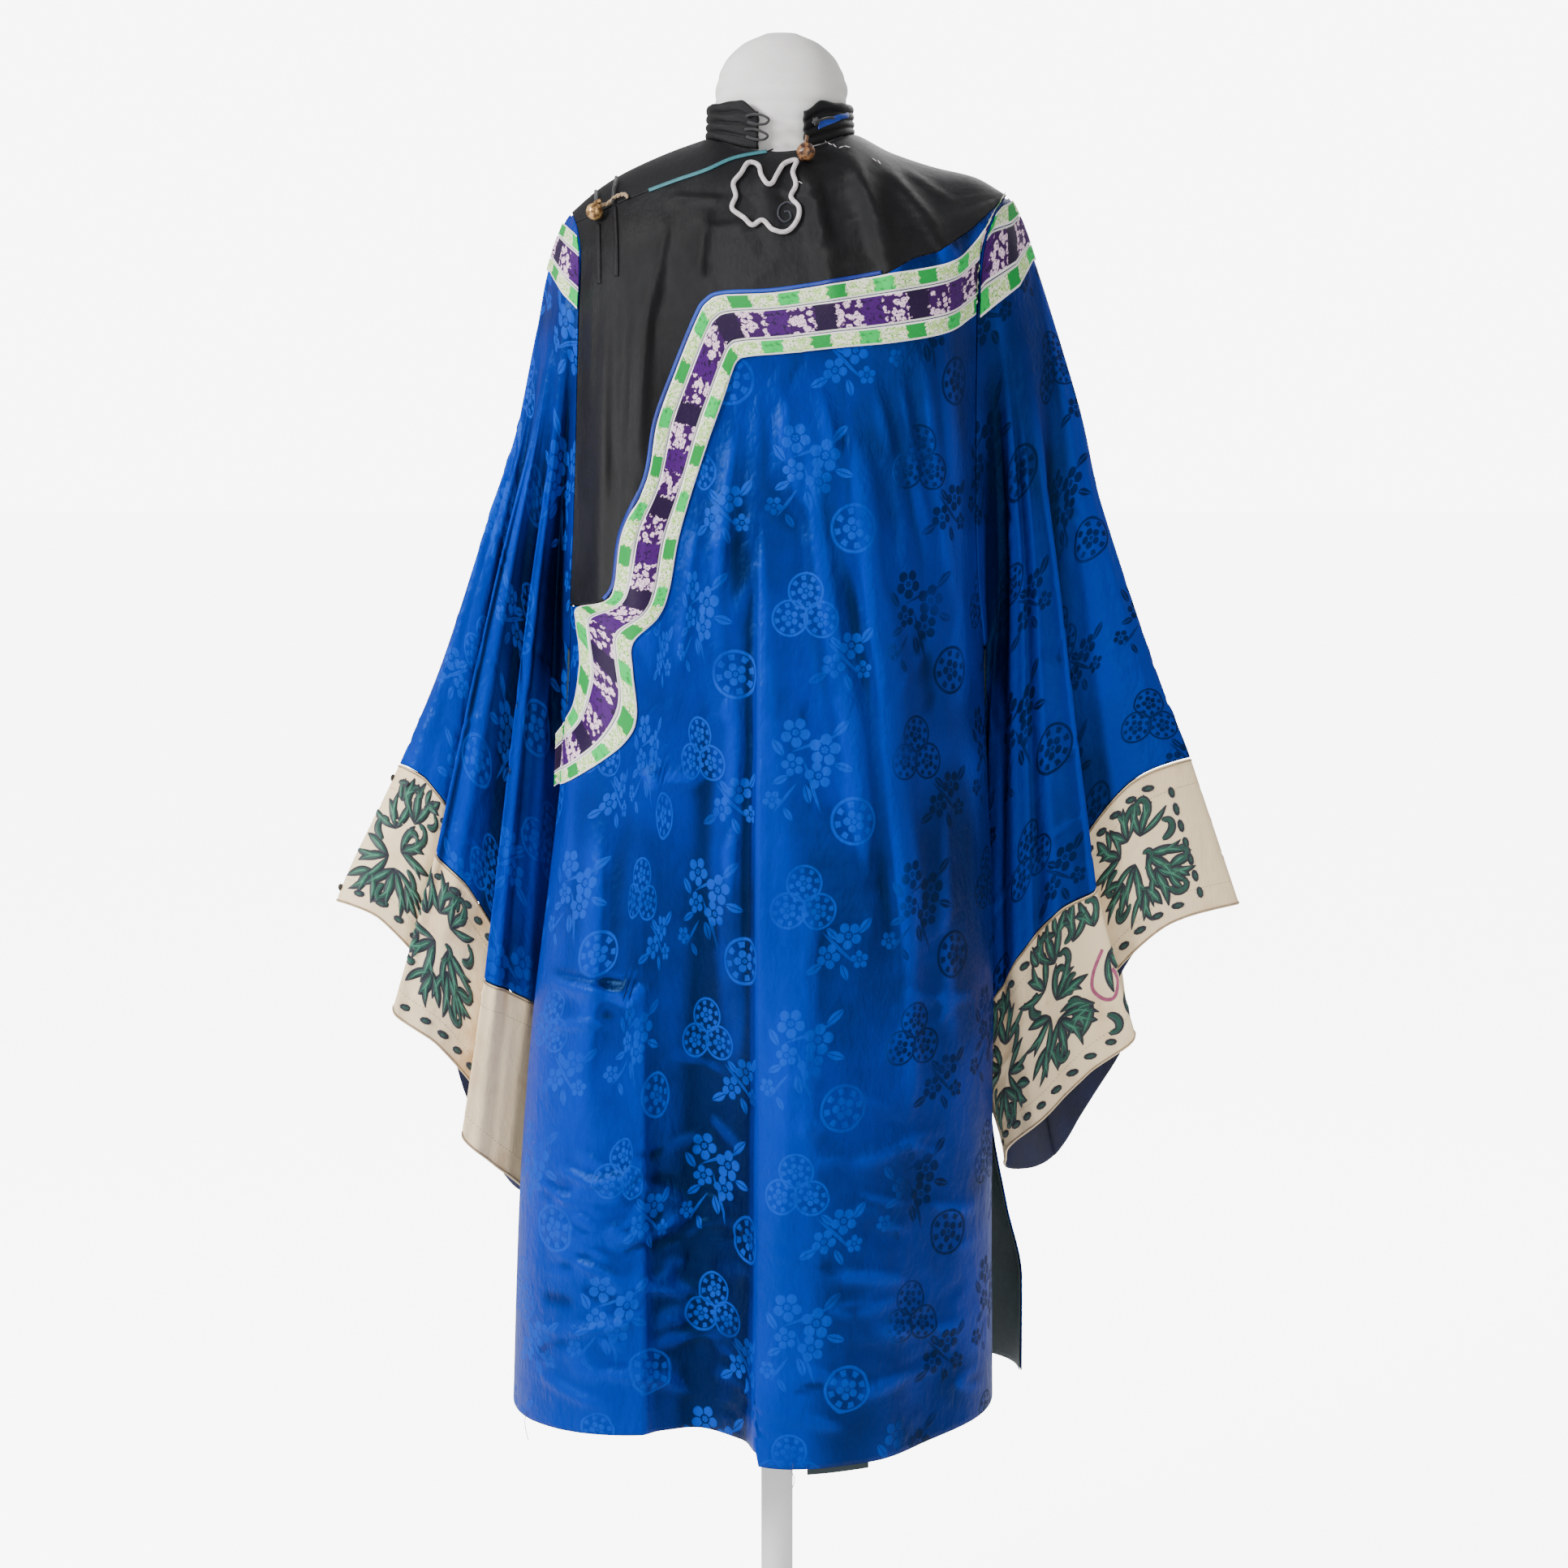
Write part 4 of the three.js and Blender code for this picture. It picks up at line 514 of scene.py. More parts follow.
backFolds = [
    (6, 1230, 10, 312, 500, -16, 30, 26), (-60, 1210, -74, 312, 600, 12, 30, 26), (66, 1210, 84, 312, 600, 13, 26, 34),
    (-110, 900, -132, 312, 500, -12, 24, 24), (128, 860, 146, 312, 460, -12, 24, 22),
    (40, 1330, 20, 900, 160, 5, 12, 14),
]
# creases listed one by one: from x, z to x, z, stands out, width on one side and on the other, bow
frontCreases = [
    (-206, 697, -96, 694, 2.6, 4, 9, 1), (-204, 705, -100, 702, -1.6, 3, 4, 1), (-122, 876, -52, 873, 2.2, 3.5, 7, 0),
    (-90, 1345, -38, 1342, 1.6, 2.2, 5, 1), (-196, 655, -130, 668, 1.6, 5, 3, -2),
    (-190, 540, -118, 528, 2.2, 6, 3, 3), (-178, 520, -100, 545, 1.8, 4, 5, -3), (-150, 480, -60, 505, 2.4, 7, 4, 4),
    (-196, 470, -120, 440, 2.2, 5, 5, -4), (-130, 452, -40, 430, 2.6, 7, 4, 5), (-190, 400, -108, 420, 2.4, 6, 4, 3),
    (-160, 372, -70, 352, 2.2, 5, 6, -4), (-110, 392, -34, 404, 1.8, 5, 4, 2), (-208, 362, -140, 338, 2.0, 6, 4, 2),
    (-60, 590, -26, 560, 2.0, 5, 4, 2), (-92, 640, -38, 622, 1.6, 5, 4, -2), (-28, 1180, -46, 1010, 2.4, 5, 9, 3),
    (-14, 1205, -22, 1030, 2.0, 4, 8, -2), (4, 1210, 22, 1080, 2.6, 5, 10, 3), (30, 1215, 64, 1010, 2.4, 5, 8, -4),
    (72, 1222, 118, 960, 2.8, 6, 10, -6), (96, 1225, 134, 1040, 2.2, 4, 8, 3), (118, 1228, 150, 1000, 2.4, 5, 8, 2),
    (20, 1050, 62, 820, 2.2, 6, 12, 5), (66, 980, 84, 700, 2.0, 6, 12, 3), (104, 860, 112, 560, 2.2, 7, 12, -4),
    (140, 900, 150, 620, 2.0, 6, 10, 4), (30, 800, 26, 520, 1.8, 7, 14, 4), (8, 700, 6, 480, 1.5, 5, 10, -3),
    (40, 468, 120, 452, 1.8, 4, 7, -3), (52, 560, 130, 580, 1.5, 4, 8, 4), (78, 420, 168, 404, 1.9, 5, 7, 3),
    (60, 360, 150, 378, 1.7, 5, 6, -3), (120, 520, 178, 500, 1.6, 4, 6, 2), (22, 392, 70, 372, 1.6, 4, 6, 2),
    (-6, 352, 60, 336, 1.4, 4, 5, -2), (150, 356, 184, 340, 1.5, 4, 5, 0), (100, 700, 172, 684, 1.4, 4, 6, 2),
    (-4, 620, 44, 640, 1.2, 4, 6, -2), (-60, 1100, -80, 940, 2.2, 5, 8, 3), (-30, 960, -44, 760, 1.8, 6, 10, -3),
    (-172, 930, -176, 760, 2.0, 6, 8, 2), (-150, 840, -158, 620, 2.2, 8, 10, -3), (26, 1372, 44, 1296, 3.0, 3.5, 8, 1),
    (62, 1386, 96, 1300, 3.2, 3.5, 9, 2), (86, 1380, 138, 1318, 3.0, 3.5, 9, 2), (100, 1376, 150, 1340, 1.8, 3, 6, 1),
    (-8, 1372, -2, 1300, 1.6, 4, 8, -1), (-54, 1340, -62, 1268, 2.0, 4, 9, 1), (-86, 1336, -98, 1240, 2.0, 4, 9, 2),
    (-98, 1300, -112, 1110, 3.0, 5, 10, 2), (-118, 1310, -128, 1120, 2.6, 4, 9, -2),
    (-136, 1270, -140, 1080, 2.4, 4, 7, 1), (-112, 1130, -120, 1020, 2.4, 4, 8, 1),
    (-150, 1300, -154, 1150, 1.8, 4, 5, 0), (0, 1352, 52, 1336, 1.2, 3, 5, 2), (-62, 1318, -20, 1322, 1.0, 3, 5, 1),
]
backCreases = [
    (-190, 690, -96, 696, 2.0, 2.4, 7, 1), (-80, 876, 10, 872, 1.8, 2.2, 6, 0), (60, 692, 160, 688, 2.0, 2.4, 7, -1),
    (-40, 1200, -66, 1000, 2.4, 6, 10, 3), (-90, 1190, -120, 960, 2.4, 6, 10, -3), (30, 1200, 44, 980, 2.4, 6, 10, 3),
    (92, 1200, 128, 940, 2.6, 6, 11, 4), (-14, 1150, -20, 860, 2.0, 6, 10, 2), (-130, 1120, -150, 820, 2.2, 6, 10, 2),
    (130, 1150, 158, 850, 2.2, 6, 10, -3), (-60, 860, -84, 540, 2.2, 8, 12, 4), (10, 840, 20, 500, 2.0, 7, 12, -3),
    (96, 820, 112, 520, 2.2, 8, 12, 4), (-150, 760, -170, 460, 2.2, 7, 10, -4), (150, 720, 176, 440, 2.0, 7, 10, 3),
    (-170, 520, -90, 500, 2.0, 5, 6, 3), (-110, 452, -20, 470, 2.2, 6, 5, -3), (-190, 420, -110, 396, 2.0, 5, 5, 3),
    (-60, 380, 30, 366, 2.0, 5, 6, 3), (40, 470, 130, 452, 2.0, 5, 6, -3), (90, 400, 190, 384, 2.0, 5, 5, 3),
    (-150, 352, -70, 340, 1.8, 5, 5, 2), (20, 560, 100, 580, 1.6, 5, 6, 3), (120, 560, 180, 540, 1.6, 5, 6, -2),
    (-40, 1340, -66, 1280, 2.2, 4, 9, 1), (44, 1350, 78, 1284, 2.4, 4, 9, 2), (-96, 1320, -118, 1270, 2.0, 4, 8, 1),
    (100, 1340, 130, 1296, 2.0, 4, 8, 1), (0, 1370, 4, 1284, 1.6, 4, 8, 0), (-70, 620, 0, 640, 1.6, 5, 6, -2),
]


def scattered(seed, count, box, slant, length, out):  # small crumples, uneven but the same each time
    random = np.random.default_rng(seed)
    found = []
    for _ in range(count):
        x, z = random.uniform(box[0], box[1]), random.uniform(box[2], box[3])
        way = math.radians(random.uniform(*slant))
        reach = random.uniform(*length) / 2
        dx, dz = reach * math.cos(way), reach * math.sin(way)
        found.append((x - dx, z - dz, x + dx, z + dz, random.uniform(*out) * random.choice([-1, 1]),
                      random.uniform(2.5, 5), random.uniform(3, 7), random.uniform(-3, 3)))
    return found


frontCreases += [(-14, 1236, -18, 560, -1.7, 2.2, 6, 0), (-16, 820, -19.5, 300, -1.9, 2.2, 6, 0),
                 (164, 1262, 177, 905, -4.5, 16, 8, -2), (-30, 1120, -52, 780, -3, 12, 16, 3),
                 (44, 1150, 84, 900, -2.6, 10, 14, 4), (84, 1180, 138, 880, -2.6, 12, 12, 3),
                 (-16, 760, -20, 330, -2.4, 12, 5, 0), (-120, 900, -150, 560, -2.4, 14, 12, 4)]
frontCreases += scattered(3, 70, (-205, -25, 330, 580), (-35, 35), (18, 60), (0.6, 1.5))
frontCreases += scattered(5, 46, (-20, 178, 330, 620), (-30, 30), (18, 60), (0.5, 1.2))
frontCreases += scattered(8, 34, (-60, 160, 640, 1200), (50, 100), (24, 90), (0.5, 1.2))
frontCreases += scattered(9, 26, (-150, 130, 1270, 1370), (-80, 80), (14, 40), (0.3, 0.8))
backCreases += scattered(13, 90, (-200, 200, 330, 640), (-40, 40), (18, 70), (0.6, 1.4))
backCreases += scattered(17, 50, (-160, 160, 640, 1200), (55, 115), (24, 90), (0.5, 1.2))
backCreases += scattered(19, 20, (-140, 140, 1270, 1360), (-80, 80), (14, 40), (0.3, 0.8))

ringLeft, ringRight, ringFront, ringBack = columnsOf(robe["rings"])
slitLeft, slitRight, slitFrontEdge, slitBackEdge = columnsOf(robe["slits"])
shoulderHeight = curve(*zip(*robe["shoulder"]))
armhole = {-1: curve(*zip(*robe["armholeLeft"])), 1: curve(*zip(*robe["armholeRight"]))}


def shoulderDrop(x):
    return 52 + 43 * ease(50, 150, np.abs(x - robe["neck"]["x"]))


def foldsAt(table, x, z):
    out = np.zeros(np.broadcast(x, z).shape)
    for topX, topZ, footX, footZ, full, height, left, right in table:
        down = (topZ - z) / (topZ - footZ)
        middle = mix(topX, footX, down)
        width = np.where(x < middle, left, right)
        along = ease(0, full, topZ - z) * (1 - ease(1, 1.25, down) if footZ > 320 else 1)
        out = out + np.where((down < 0) | (down > 1.25), 0, height * along * np.exp(-(((x - middle) / width) ** 2)))
    return out


def creasesAt(table, x, z):
    out = np.zeros(np.broadcast(x, z).shape)
    for ax, az, bx, bz, height, above, below, bow in table:
        length = math.hypot(bx - ax, bz - az)
        along = ((x - ax) * (bx - ax) + (z - az) * (bz - az)) / length**2
        across = ((x - ax) * (bz - az) - (z - az) * (bx - ax)) / length - bow * 4 * along * (1 - along)
        taper = ease(0, 0.3, along) * (1 - ease(0.7, 1, along))
        fall = np.exp(-((across / np.where(across < 0, above, below)) ** 2))
        out = out + robe["creaseGain"] * height * taper * fall
    return out


def valleyAt(x, z):
    v = robe["valley"]
    high = ease(v["low"] - v["fade"], v["low"], z) * (1 - ease(v["high"] - v["fade"], v["high"], z))
    near = np.minimum(np.abs(x - armhole[-1](z)), np.abs(x - armhole[1](z)))
    return v["depth"] * high * np.exp(-((near / v["width"]) ** 2))


def bodyY(side, x, z, creased=True):
    below = z < robe["slitTop"]
    left = np.where(below, slitLeft(z), ringLeft(z)) if side > 0 else ringLeft(z)
    right = np.where(below, slitRight(z), ringRight(z)) if side > 0 else ringRight(z)
    centre = (left + right) / 2
    across = np.clip(np.abs(x - centre) / ((right - left) / 2), 0, 1)
    arch = (1 - across ** robe["roundness"]) ** (1 / robe["roundness"])
    full = ringFront(z) if side < 0 else ringBack(z)
    edge = np.where(below, slitFrontEdge(z) if side < 0 else slitBackEdge(z), robe["seam"])
    turned = np.clip((shoulderHeight(x) - z) / shoulderDrop(x), 0, 1)
    over = np.sqrt(1 - (1 - turned) ** 2)
    free = over * np.clip((1 - across) * 7, 0, 1)
    out = foldsAt(frontFolds if side < 0 else backFolds, x, z) * free
    if creased:
        out = out + creasesAt(frontCreases if side < 0 else backCreases, x, z) * free
    return side * (edge + (full - edge) * arch * over + out - valleyAt(x, z) * np.clip(arch * 2, 0, 1))


def bodySide(which, y, z):  # how far the body reaches to one side at a depth
    back, below = y > 0, z < robe["slitTop"]
    left = slitLeft(z) if back and below else ringLeft(z)
    right = slitRight(z) if back and below else ringRight(z)
    edge = (slitBackEdge(z) if back else slitFrontEdge(z)) if below else robe["seam"]
    full = ringBack(z) if back else ringFront(z)
    deep = min(max((abs(y) - edge) / (full - edge), 0), 1)
    return (left + right) / 2 + which * (right - left) * (1 - deep ** robe["roundness"]) ** (1 / robe["roundness"]) / 2


def neckPoint(angle, grow=0.0):
    neck = robe["neck"]
    x = neck["x"] + (neck["half"] + grow) * math.sin(angle)
    front = math.cos(angle) > 0
    want = abs(math.cos(angle)) * ((neck["front"] if front else neck["back"]) + grow)
    low, high = float(shoulderHeight(x) - shoulderDrop(x)), float(shoulderHeight(x))
    for _ in range(26):
        z = (low + high) / 2
        if abs(float(bodyY(-1 if front else 1, x, z, False))) > want:
            low = z
        else:
            high = z
    return np.array([x, -want if front else want, (low + high) / 2])


# ---- mesh helpers


def unit(ways):
    return ways / np.maximum(np.linalg.norm(ways, axis=-1, keepdims=True), 1e-9)


def waysAlong(path):
    return unit(np.gradient(np.asarray(path, float), axis=0))


def normalsOf(points):
    return unit(np.cross(np.gradient(points, axis=1), np.gradient(points, axis=0)))


def runs(points, axis=0):  # the distance gone along one axis of the places
    gone = np.cumsum(np.linalg.norm(np.diff(points, axis=axis), axis=-1), axis=axis)
    return np.insert(gone, 0, 0, axis=axis)


def rounded(a, b, c, d, t):  # from b to c, with the slopes that a and d give
    return 0.5 * (2 * b + (c - a) * t + (2 * a - 5 * b + 4 * c - d) * t**2 + (3 * b - a - 3 * c + d) * t**3)


def makeObject(name, points, faces, material, smooth=True, uvs=None, extraMaterials=(), hollow=None):
    mesh = bpy.data.meshes.new(name)
    used, place = np.unique(np.concatenate([np.ravel(f) for f in faces]), return_inverse=True)
    flat = np.asarray(points, float).reshape(-1, 3)[used] / 1000
    sizes = [len(f) for f in faces]
    starts = np.concatenate([[0], np.cumsum(sizes)[:-1]])
    mesh.from_pydata(flat.tolist(), [], [place[s:s + n].tolist() for s, n in zip(starts, sizes)])
    if hollow is not None:
        mesh.attributes.new("hollow", "FLOAT", "POINT").data.foreach_set("value",
                                                                         hollow.ravel()[used].astype(np.float32))
    if uvs is not None:
        layer = mesh.uv_layers.new(name="cut")
        layer.data.foreach_set("uv", np.asarray(uvs, float).ravel())
    for each in (material, *extraMaterials):
        mesh.materials.append(each)
    mesh.polygons.foreach_set("use_smooth", [smooth] * len(mesh.polygons))
    mesh.update()
    made = bpy.data.objects.new(name, mesh)
    bpy.context.scene.collection.objects.link(made)
    return made


def quadsOf(index, order=(0, 1, 2, 3)):  # faces between neighbours in a grid of point numbers
    return np.stack([index[:-1, :-1], index[1:, :-1], index[1:, 1:], index[:-1, 1:]], -1).reshape(-1, 4)[:, order]


def ringQuads(rings, sides, closed=False, order=(0, 1, 2, 3)):
    index = np.arange(rings * sides).reshape(rings, sides)
    index = np.concatenate([index, index[:, :1]], 1)
    return quadsOf(np.concatenate([index, index[:1]]) if closed else index, order).tolist()


def gridFaces(rows, cols, closedRows=None, flip=False):
    raw = np.arange(rows * cols).reshape(rows, cols)
    index = raw.copy()
    if closedRows is not None:
        index[closedRows, -1] = index[closedRows, 0]
    order = (3, 2, 1, 0) if flip else (0, 1, 2, 3)
    return quadsOf(index, order), quadsOf(raw, order)


def sheetFacts(points):  # the cut's width, length and area in metres, measured on the cloth
    metres = points / 1000
    acrossSteps = np.linalg.norm(np.diff(metres, axis=1), axis=2)
    downSteps = np.linalg.norm(np.diff(metres, axis=0), axis=2)
    a, b = metres[1:, 1:] - metres[:-1, :-1], metres[:-1, 1:] - metres[1:, :-1]
    area = float(np.linalg.norm(np.cross(a, b), axis=2).sum() / 2)
    width, length = float(acrossSteps.sum(1).max()), float(downSteps.sum(0).max())
    return width, max(length, area / width), area


def hollowOf(points):  # how deep each place lies below the cloth about it, in millimetres
    deep = points
    for axis in (0, 1):
        gap = np.linalg.norm(np.diff(points, axis=axis), axis=2).mean()
        half = int(np.clip(round(robe["hollowReach"] / gap), 1, points.shape[axis] - 1))
        for _ in range(2):
            padding = [(0, 0), (0, 0), (0, 0)]
            padding[axis] = (half, half)
            wide = np.cumsum(np.pad(deep, padding, mode="reflect", reflect_type="odd"), axis=axis)
            wide = np.insert(wide, 0, 0, axis=axis)
            count, size = 2 * half + 1, points.shape[axis]
            deep = (wide.take(range(count, count + size), axis=axis) - wide.take(range(size), axis=axis)) / count
    return ((deep - points) * normalsOf(points)).sum(-1)


def clothPiece(name, points, uv, material, inside=None, closedRows=None, flip=False, thickness=None):
    rows, cols = points.shape[:2]
    faces, rawFaces = gridFaces(rows, cols, closedRows, flip)
    # depths below the cloth about each place, which the materials use to paint shade and highlight on the folds
    hollow = hollowOf(points) * (1 if flip else -1) if min(rows, cols) > 20 else None
    made = makeObject(name, points, faces, material, uvs=uv.reshape(-1, 2)[rawFaces.ravel()],
                      extraMaterials=(inside or material,), hollow=hollow)
    shell = made.modifiers.new("thickness", "SOLIDIFY")
    shell.thickness = (robe["cloth"] if thickness is None else thickness) / 1000
    shell.offset = -1
    shell.material_offset = 1
    shell.use_even_offset = False
    return made


def rowUv(points, anchor):  # distance across each row from one column, and the height
    across = runs(points, 1)
    across -= across[np.arange(len(points)), anchor][:, None]
    return np.stack([across, points[:, :, 2]], -1) / 1000


def tube(path, radius, sides=8, closed=False):  # points and faces of a round cord along a path
    path = np.asarray(path, float)
    ways = unit(np.roll(path, -1, 0) - np.roll(path, 1, 0)) if closed else waysAlong(path)
    up = np.array([0.0, 1.0, 0.0]) if abs(ways[0][1]) < 0.8 else np.array([0.0, 0.0, 1.0])
    points = []
    for at, along in zip(path, ways):
        side = unit(np.cross(along, up))
        up = np.cross(side, along)
        for k in range(sides):
            a = 2 * math.pi * k / sides
            points.append(at + radius * (math.cos(a) * side + math.sin(a) * up))
    faces = ringQuads(len(path), sides, closed)
    if not closed:
        faces += [list(range(sides)), list(range(len(points) - 1, len(points) - sides - 1, -1))]
    return points, faces


def joined(parts):
    points, faces = [], []
    for partPoints, partFaces in parts:
        offset = len(points)
        points.extend(partPoints)
        faces.extend([[v + offset for v in f] for f in partFaces])
    return points, faces


def smoothPath(points, per=8, closed=False):  # a rounded path through the points
    p = np.asarray(points, float)
    around = [p[-1], *p, p[0], p[1]] if closed else [p[0], *p, p[-1]]
    found = [rounded(*around[i:i + 4], k / per) for i in range(len(around) - 3) for k in range(per)]
    return np.array(found if closed else found + [p[-1]])


def finished(made, slotName, *nodes):
    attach(made, "root")
    if nodes:
        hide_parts(*nodes)
    return made


# ---- the front and the back, cut along the yoke's seams
ribbonTop = [(202, 1352), (187, 1342), (159.5, 1306.3), (137.7, 1290.5), (85.2, 1279.7), (40.7, 1271.6),
             (-2.8, 1265.3), (-42.5, 1263.4), (-55, 1258), (-62.8, 1246.1), (-80, 1205), (-95.7, 1162.7),
             (-104, 1117.3), (-124.5, 1072.5), (-131.1, 1031.9), (-139.5, 1017.7)]
ribbonFoot = [(214, 1306), (201.8, 1275.9), (162.2, 1250), (137.9, 1234.6), (97.1, 1226.2), (48.6, 1221.4), (8, 1217),
              (-22, 1214.5), (-30.8, 1211), (-36, 1200), (-43, 1180), (-51.8, 1155), (-69, 1103), (-79.1, 1067.1),
              (-86.6, 1027), (-95.9, 1005.2)]
ribbonEndTop = [(-166, 1009), (-168, 997), (-165, 977), (-165, 957), (-172, 924), (-190, 898)]
ribbonEndFoot = [(-116.2, 984.3), (-117, 961.4), (-114, 924.6), (-122, 904.1), (-145, 883.7), (-192, 852)]
yokeEdgeRight = [(212, 1366), (187.4, 1347), (159.7, 1320.4), (131.6, 1300.7), (111, 1295), (85.2, 1279.7)]
opening = [(-2, 1384), (-7.6, 1381.3), (-34, 1375.6), (-56.9, 1365.2), (-80.1, 1357.9), (-103.7, 1350.2),
           (-124.1, 1343.1), (-146.1, 1334.1), (-180, 1322)]
backTop = [(-178, 1322), (-163, 1309), (-125, 1283), (-60, 1268), (6, 1264), (70, 1268), (130, 1284), (159.5, 1306.3),
           (187, 1342)]
backFoot = [(-176, 1262), (-160, 1250), (-118, 1226), (-60, 1213), (6, 1209), (70, 1213), (126, 1227), (162.2, 1250),
            (201.8, 1275.9)]
sleeveRibbons = {
    -1: ([(-196, 1345), (-188.6, 1335.6), (-175, 1326), (-152.9, 1305.6)],
         [(-205, 1296), (-189, 1288), (-176, 1268), (-155, 1246)]),
    1: ([(216, 1364), (196, 1346), (187, 1341), (160, 1306)], [(226, 1302), (214, 1297), (201, 1275), (162, 1244)]),
}
ribbonSet = {"edge": 0.26, "gap": 0.007, "guard": 2.0, "guardFrom": 1010.0, "rowsPer": {"green": 6, "purple": 9}}


def shareOf(top, foot, share):
    return [tuple(mix(np.array(a, float), np.array(b, float), share)) for a, b in zip(top, foot)]


frontSeam = line([(x, z - 1) for x, z in yokeEdgeRight] + shareOf(ribbonTop, ribbonFoot, 0.12)[5:]
                 + [(-150, 1012), (-200, 1006)])
backSeam = line(shareOf(backTop, backFoot, 0.12))
openingLine = line(opening)
neckFront = [neckPoint(a, 1.4) for a in np.linspace(-math.pi / 2, math.pi / 2, 61)]
neckBack = [neckPoint(a, 1.4) for a in np.linspace(1.5 * math.pi, math.pi / 2, 61)]
neckFrontLine = line([(p[0], p[2]) for p in neckFront])
neckBackLine = line([(p[0], p[2]) for p in neckBack])
neckLow, neckHigh = neckFront[0][0], neckFront[-1][0]


def lapX(z):
    return mix(-17, -12, np.clip((z - 312) / 918, 0, 1))


def leftEdgeX(z):
    return mix(-114, -104, np.clip((z - 860) / 500, 0, 1))


def hemHeight(side, x):
    hem = robe["hem"]
    if side > 0:
        return np.full(np.shape(x), hem["back"])
    return np.where(x < lapX(312), hem["left"], mix(hem["middle"], hem["right"], ease(80, 190, x)))


def sideX(side, which, z):
    ring = ringLeft(z) if which < 0 else ringRight(z)
    if side > 0:
        ring = np.where(z < robe["slitTop"], slitLeft(z) if which < 0 else slitRight(z), ring)
    return np.where(z >= robe["armpit"], armhole[which](z), ring)


frontMarks = np.concatenate([
    1 - np.cos(np.linspace(0, math.pi / 2, 34)), 1 + np.linspace(0, 1, 6)[1:], 2 + np.linspace(0, 1, 24)[1:],
    3 + np.linspace(0, 1, 6)[1:], 4 + np.sin(np.linspace(0, math.pi / 2, 64))[1:]])
backMarks = (1 - np.cos(np.linspace(0, math.pi, 118))) / 2


def columnX(side, marks, z):
    left, right = sideX(side, -1, z), sideX(side, 1, z)
    if side > 0:
        return mix(left, right, marks)
    stops = np.stack(np.broadcast_arrays(left, leftEdgeX(z), leftEdgeX(z) + 9, lapX(z) - 9, lapX(z) + 2, right))
    part = np.minimum(marks.astype(int), 4)
    low = np.take_along_axis(stops, np.broadcast_to(part, z.shape)[None], 0)[0]
    high = np.take_along_axis(stops, np.broadcast_to(part + 1, z.shape)[None], 0)[0]
    return mix(low, high, marks - part)


def panelGrid(side, bottom, top, shares, columnsAt=columnX, marks=None):
    marks = (frontMarks if side < 0 else backMarks) if marks is None else marks
    z = np.full((len(shares), len(marks)), robe["armpit"])
    share = np.asarray(shares)[:, None]
    for _ in range(14):
        x = columnsAt(side, np.broadcast_to(marks, z.shape), z)
        z = mix(bottom(x), top(x), share)
    return np.stack([x, bodyY(side, x, z), z], -1)


def turnedRows(count):  # closer together towards the top
    return np.sin(np.linspace(0, math.pi / 2, count))


def yokeTop(x):
    rim = np.where(x < -2, openingLine(x), np.where(x < neckHigh, neckFrontLine(x), shoulderHeight(x)))
    return np.maximum(rim, frontSeam(x) + 0.2)


def backYokeTop(x):
    return np.where((x > neckLow) & (x < neckHigh), neckBackLine(x), shoulderHeight(x))


def shoulderYokeColumns(side, marks, z):
    return mix(armhole[-1](z), -2.4, marks)


def shoulderYokeTop(x):
    return np.maximum(np.where(x > neckLow, neckFrontLine(x), shoulderHeight(x)), openingLine(x) + 0.9)


gap = robe["seam"]
evenRows = np.linspace(0, 1, 205)
frontSilkPoints = panelGrid(-1, lambda x: hemHeight(-1, x), lambda x: frontSeam(x) - gap, evenRows)
frontYokePoints = panelGrid(-1, lambda x: frontSeam(x) + gap, lambda x: yokeTop(x) - gap, turnedRows(96))
shoulderYokePoints = panelGrid(-1, lambda x: openingLine(x) + gap, shoulderYokeTop, turnedRows(34),
                               shoulderYokeColumns, np.linspace(0, 1, 60))
backSilkPoints = panelGrid(1, lambda x: hemHeight(1, x), lambda x: backSeam(x) - gap, evenRows)
backYokePoints = panelGrid(1, lambda x: backSeam(x) + gap, backYokeTop, turnedRows(50))

bodyPieces = [
    ("frontSilk", "front_silk", frontSilkPoints, "silk", "blue_silk", -1),
    ("frontYoke", "front_yoke", frontYokePoints, "black", "black_silk", -1),
    ("shoulderYoke", "shoulder_yoke", shoulderYokePoints, "black", "black_silk", -1),
    ("backSilk", "back_silk", backSilkPoints, "silk", "blue_silk", 1),
    ("backYoke", "back_yoke", backYokePoints, "black", "black_silk", 1),
]
sheets = []


def cutCloth(name, points, uv, look, slotName, node, held, restsOn, inside=None, **settings):
    made = clothPiece(name, points, uv, looks[look], looks[inside or look], **settings)
    finished(made, slotName, node)
    sheets.append((made, points, held, [restsOn]))


for name, node, points, look, slotName, side in bodyPieces:
    uv = rowUv(points, points.shape[1] // 2)
    cutCloth(name, points, uv, look, slotName, node, "hung", "dressForm", "lining", flip=side < 0)
print("front and back made")

# ---- ribbons and trims that lie on the body


def onBody(side, rows, off):  # places on the cloth, off by a distance, given as rows of (x, z)
    grid, reach = np.array(rows, float), 0.6
    x, z = grid[..., 0], grid[..., 1]
    y = bodyY(side, x, z)
    dx = (bodyY(side, x + reach, z) - bodyY(side, x - reach, z)) / (2 * reach)
    dz = (bodyY(side, x, z + reach) - bodyY(side, x, z - reach)) / (2 * reach)
    front = 1 if side < 0 else -1
    normal = np.stack([np.clip(front * dx, -3, 3), np.full(x.shape, -1.0 * front), np.clip(front * dz, -3, 3)], -1)
    return np.stack([x, y, z], -1) + unit(normal) * off


def onFront(x, z, out):
    return onBody(-1, [[(x, z)]], out)[0, 0]


def bandRows(top, foot, low, high, across, per):
    topPath, footPath = smoothPath(top, per), smoothPath(foot, per)
    return np.array([mix(topPath, footPath, mix(low, high, t)) for t in np.linspace(0, 1, across)])


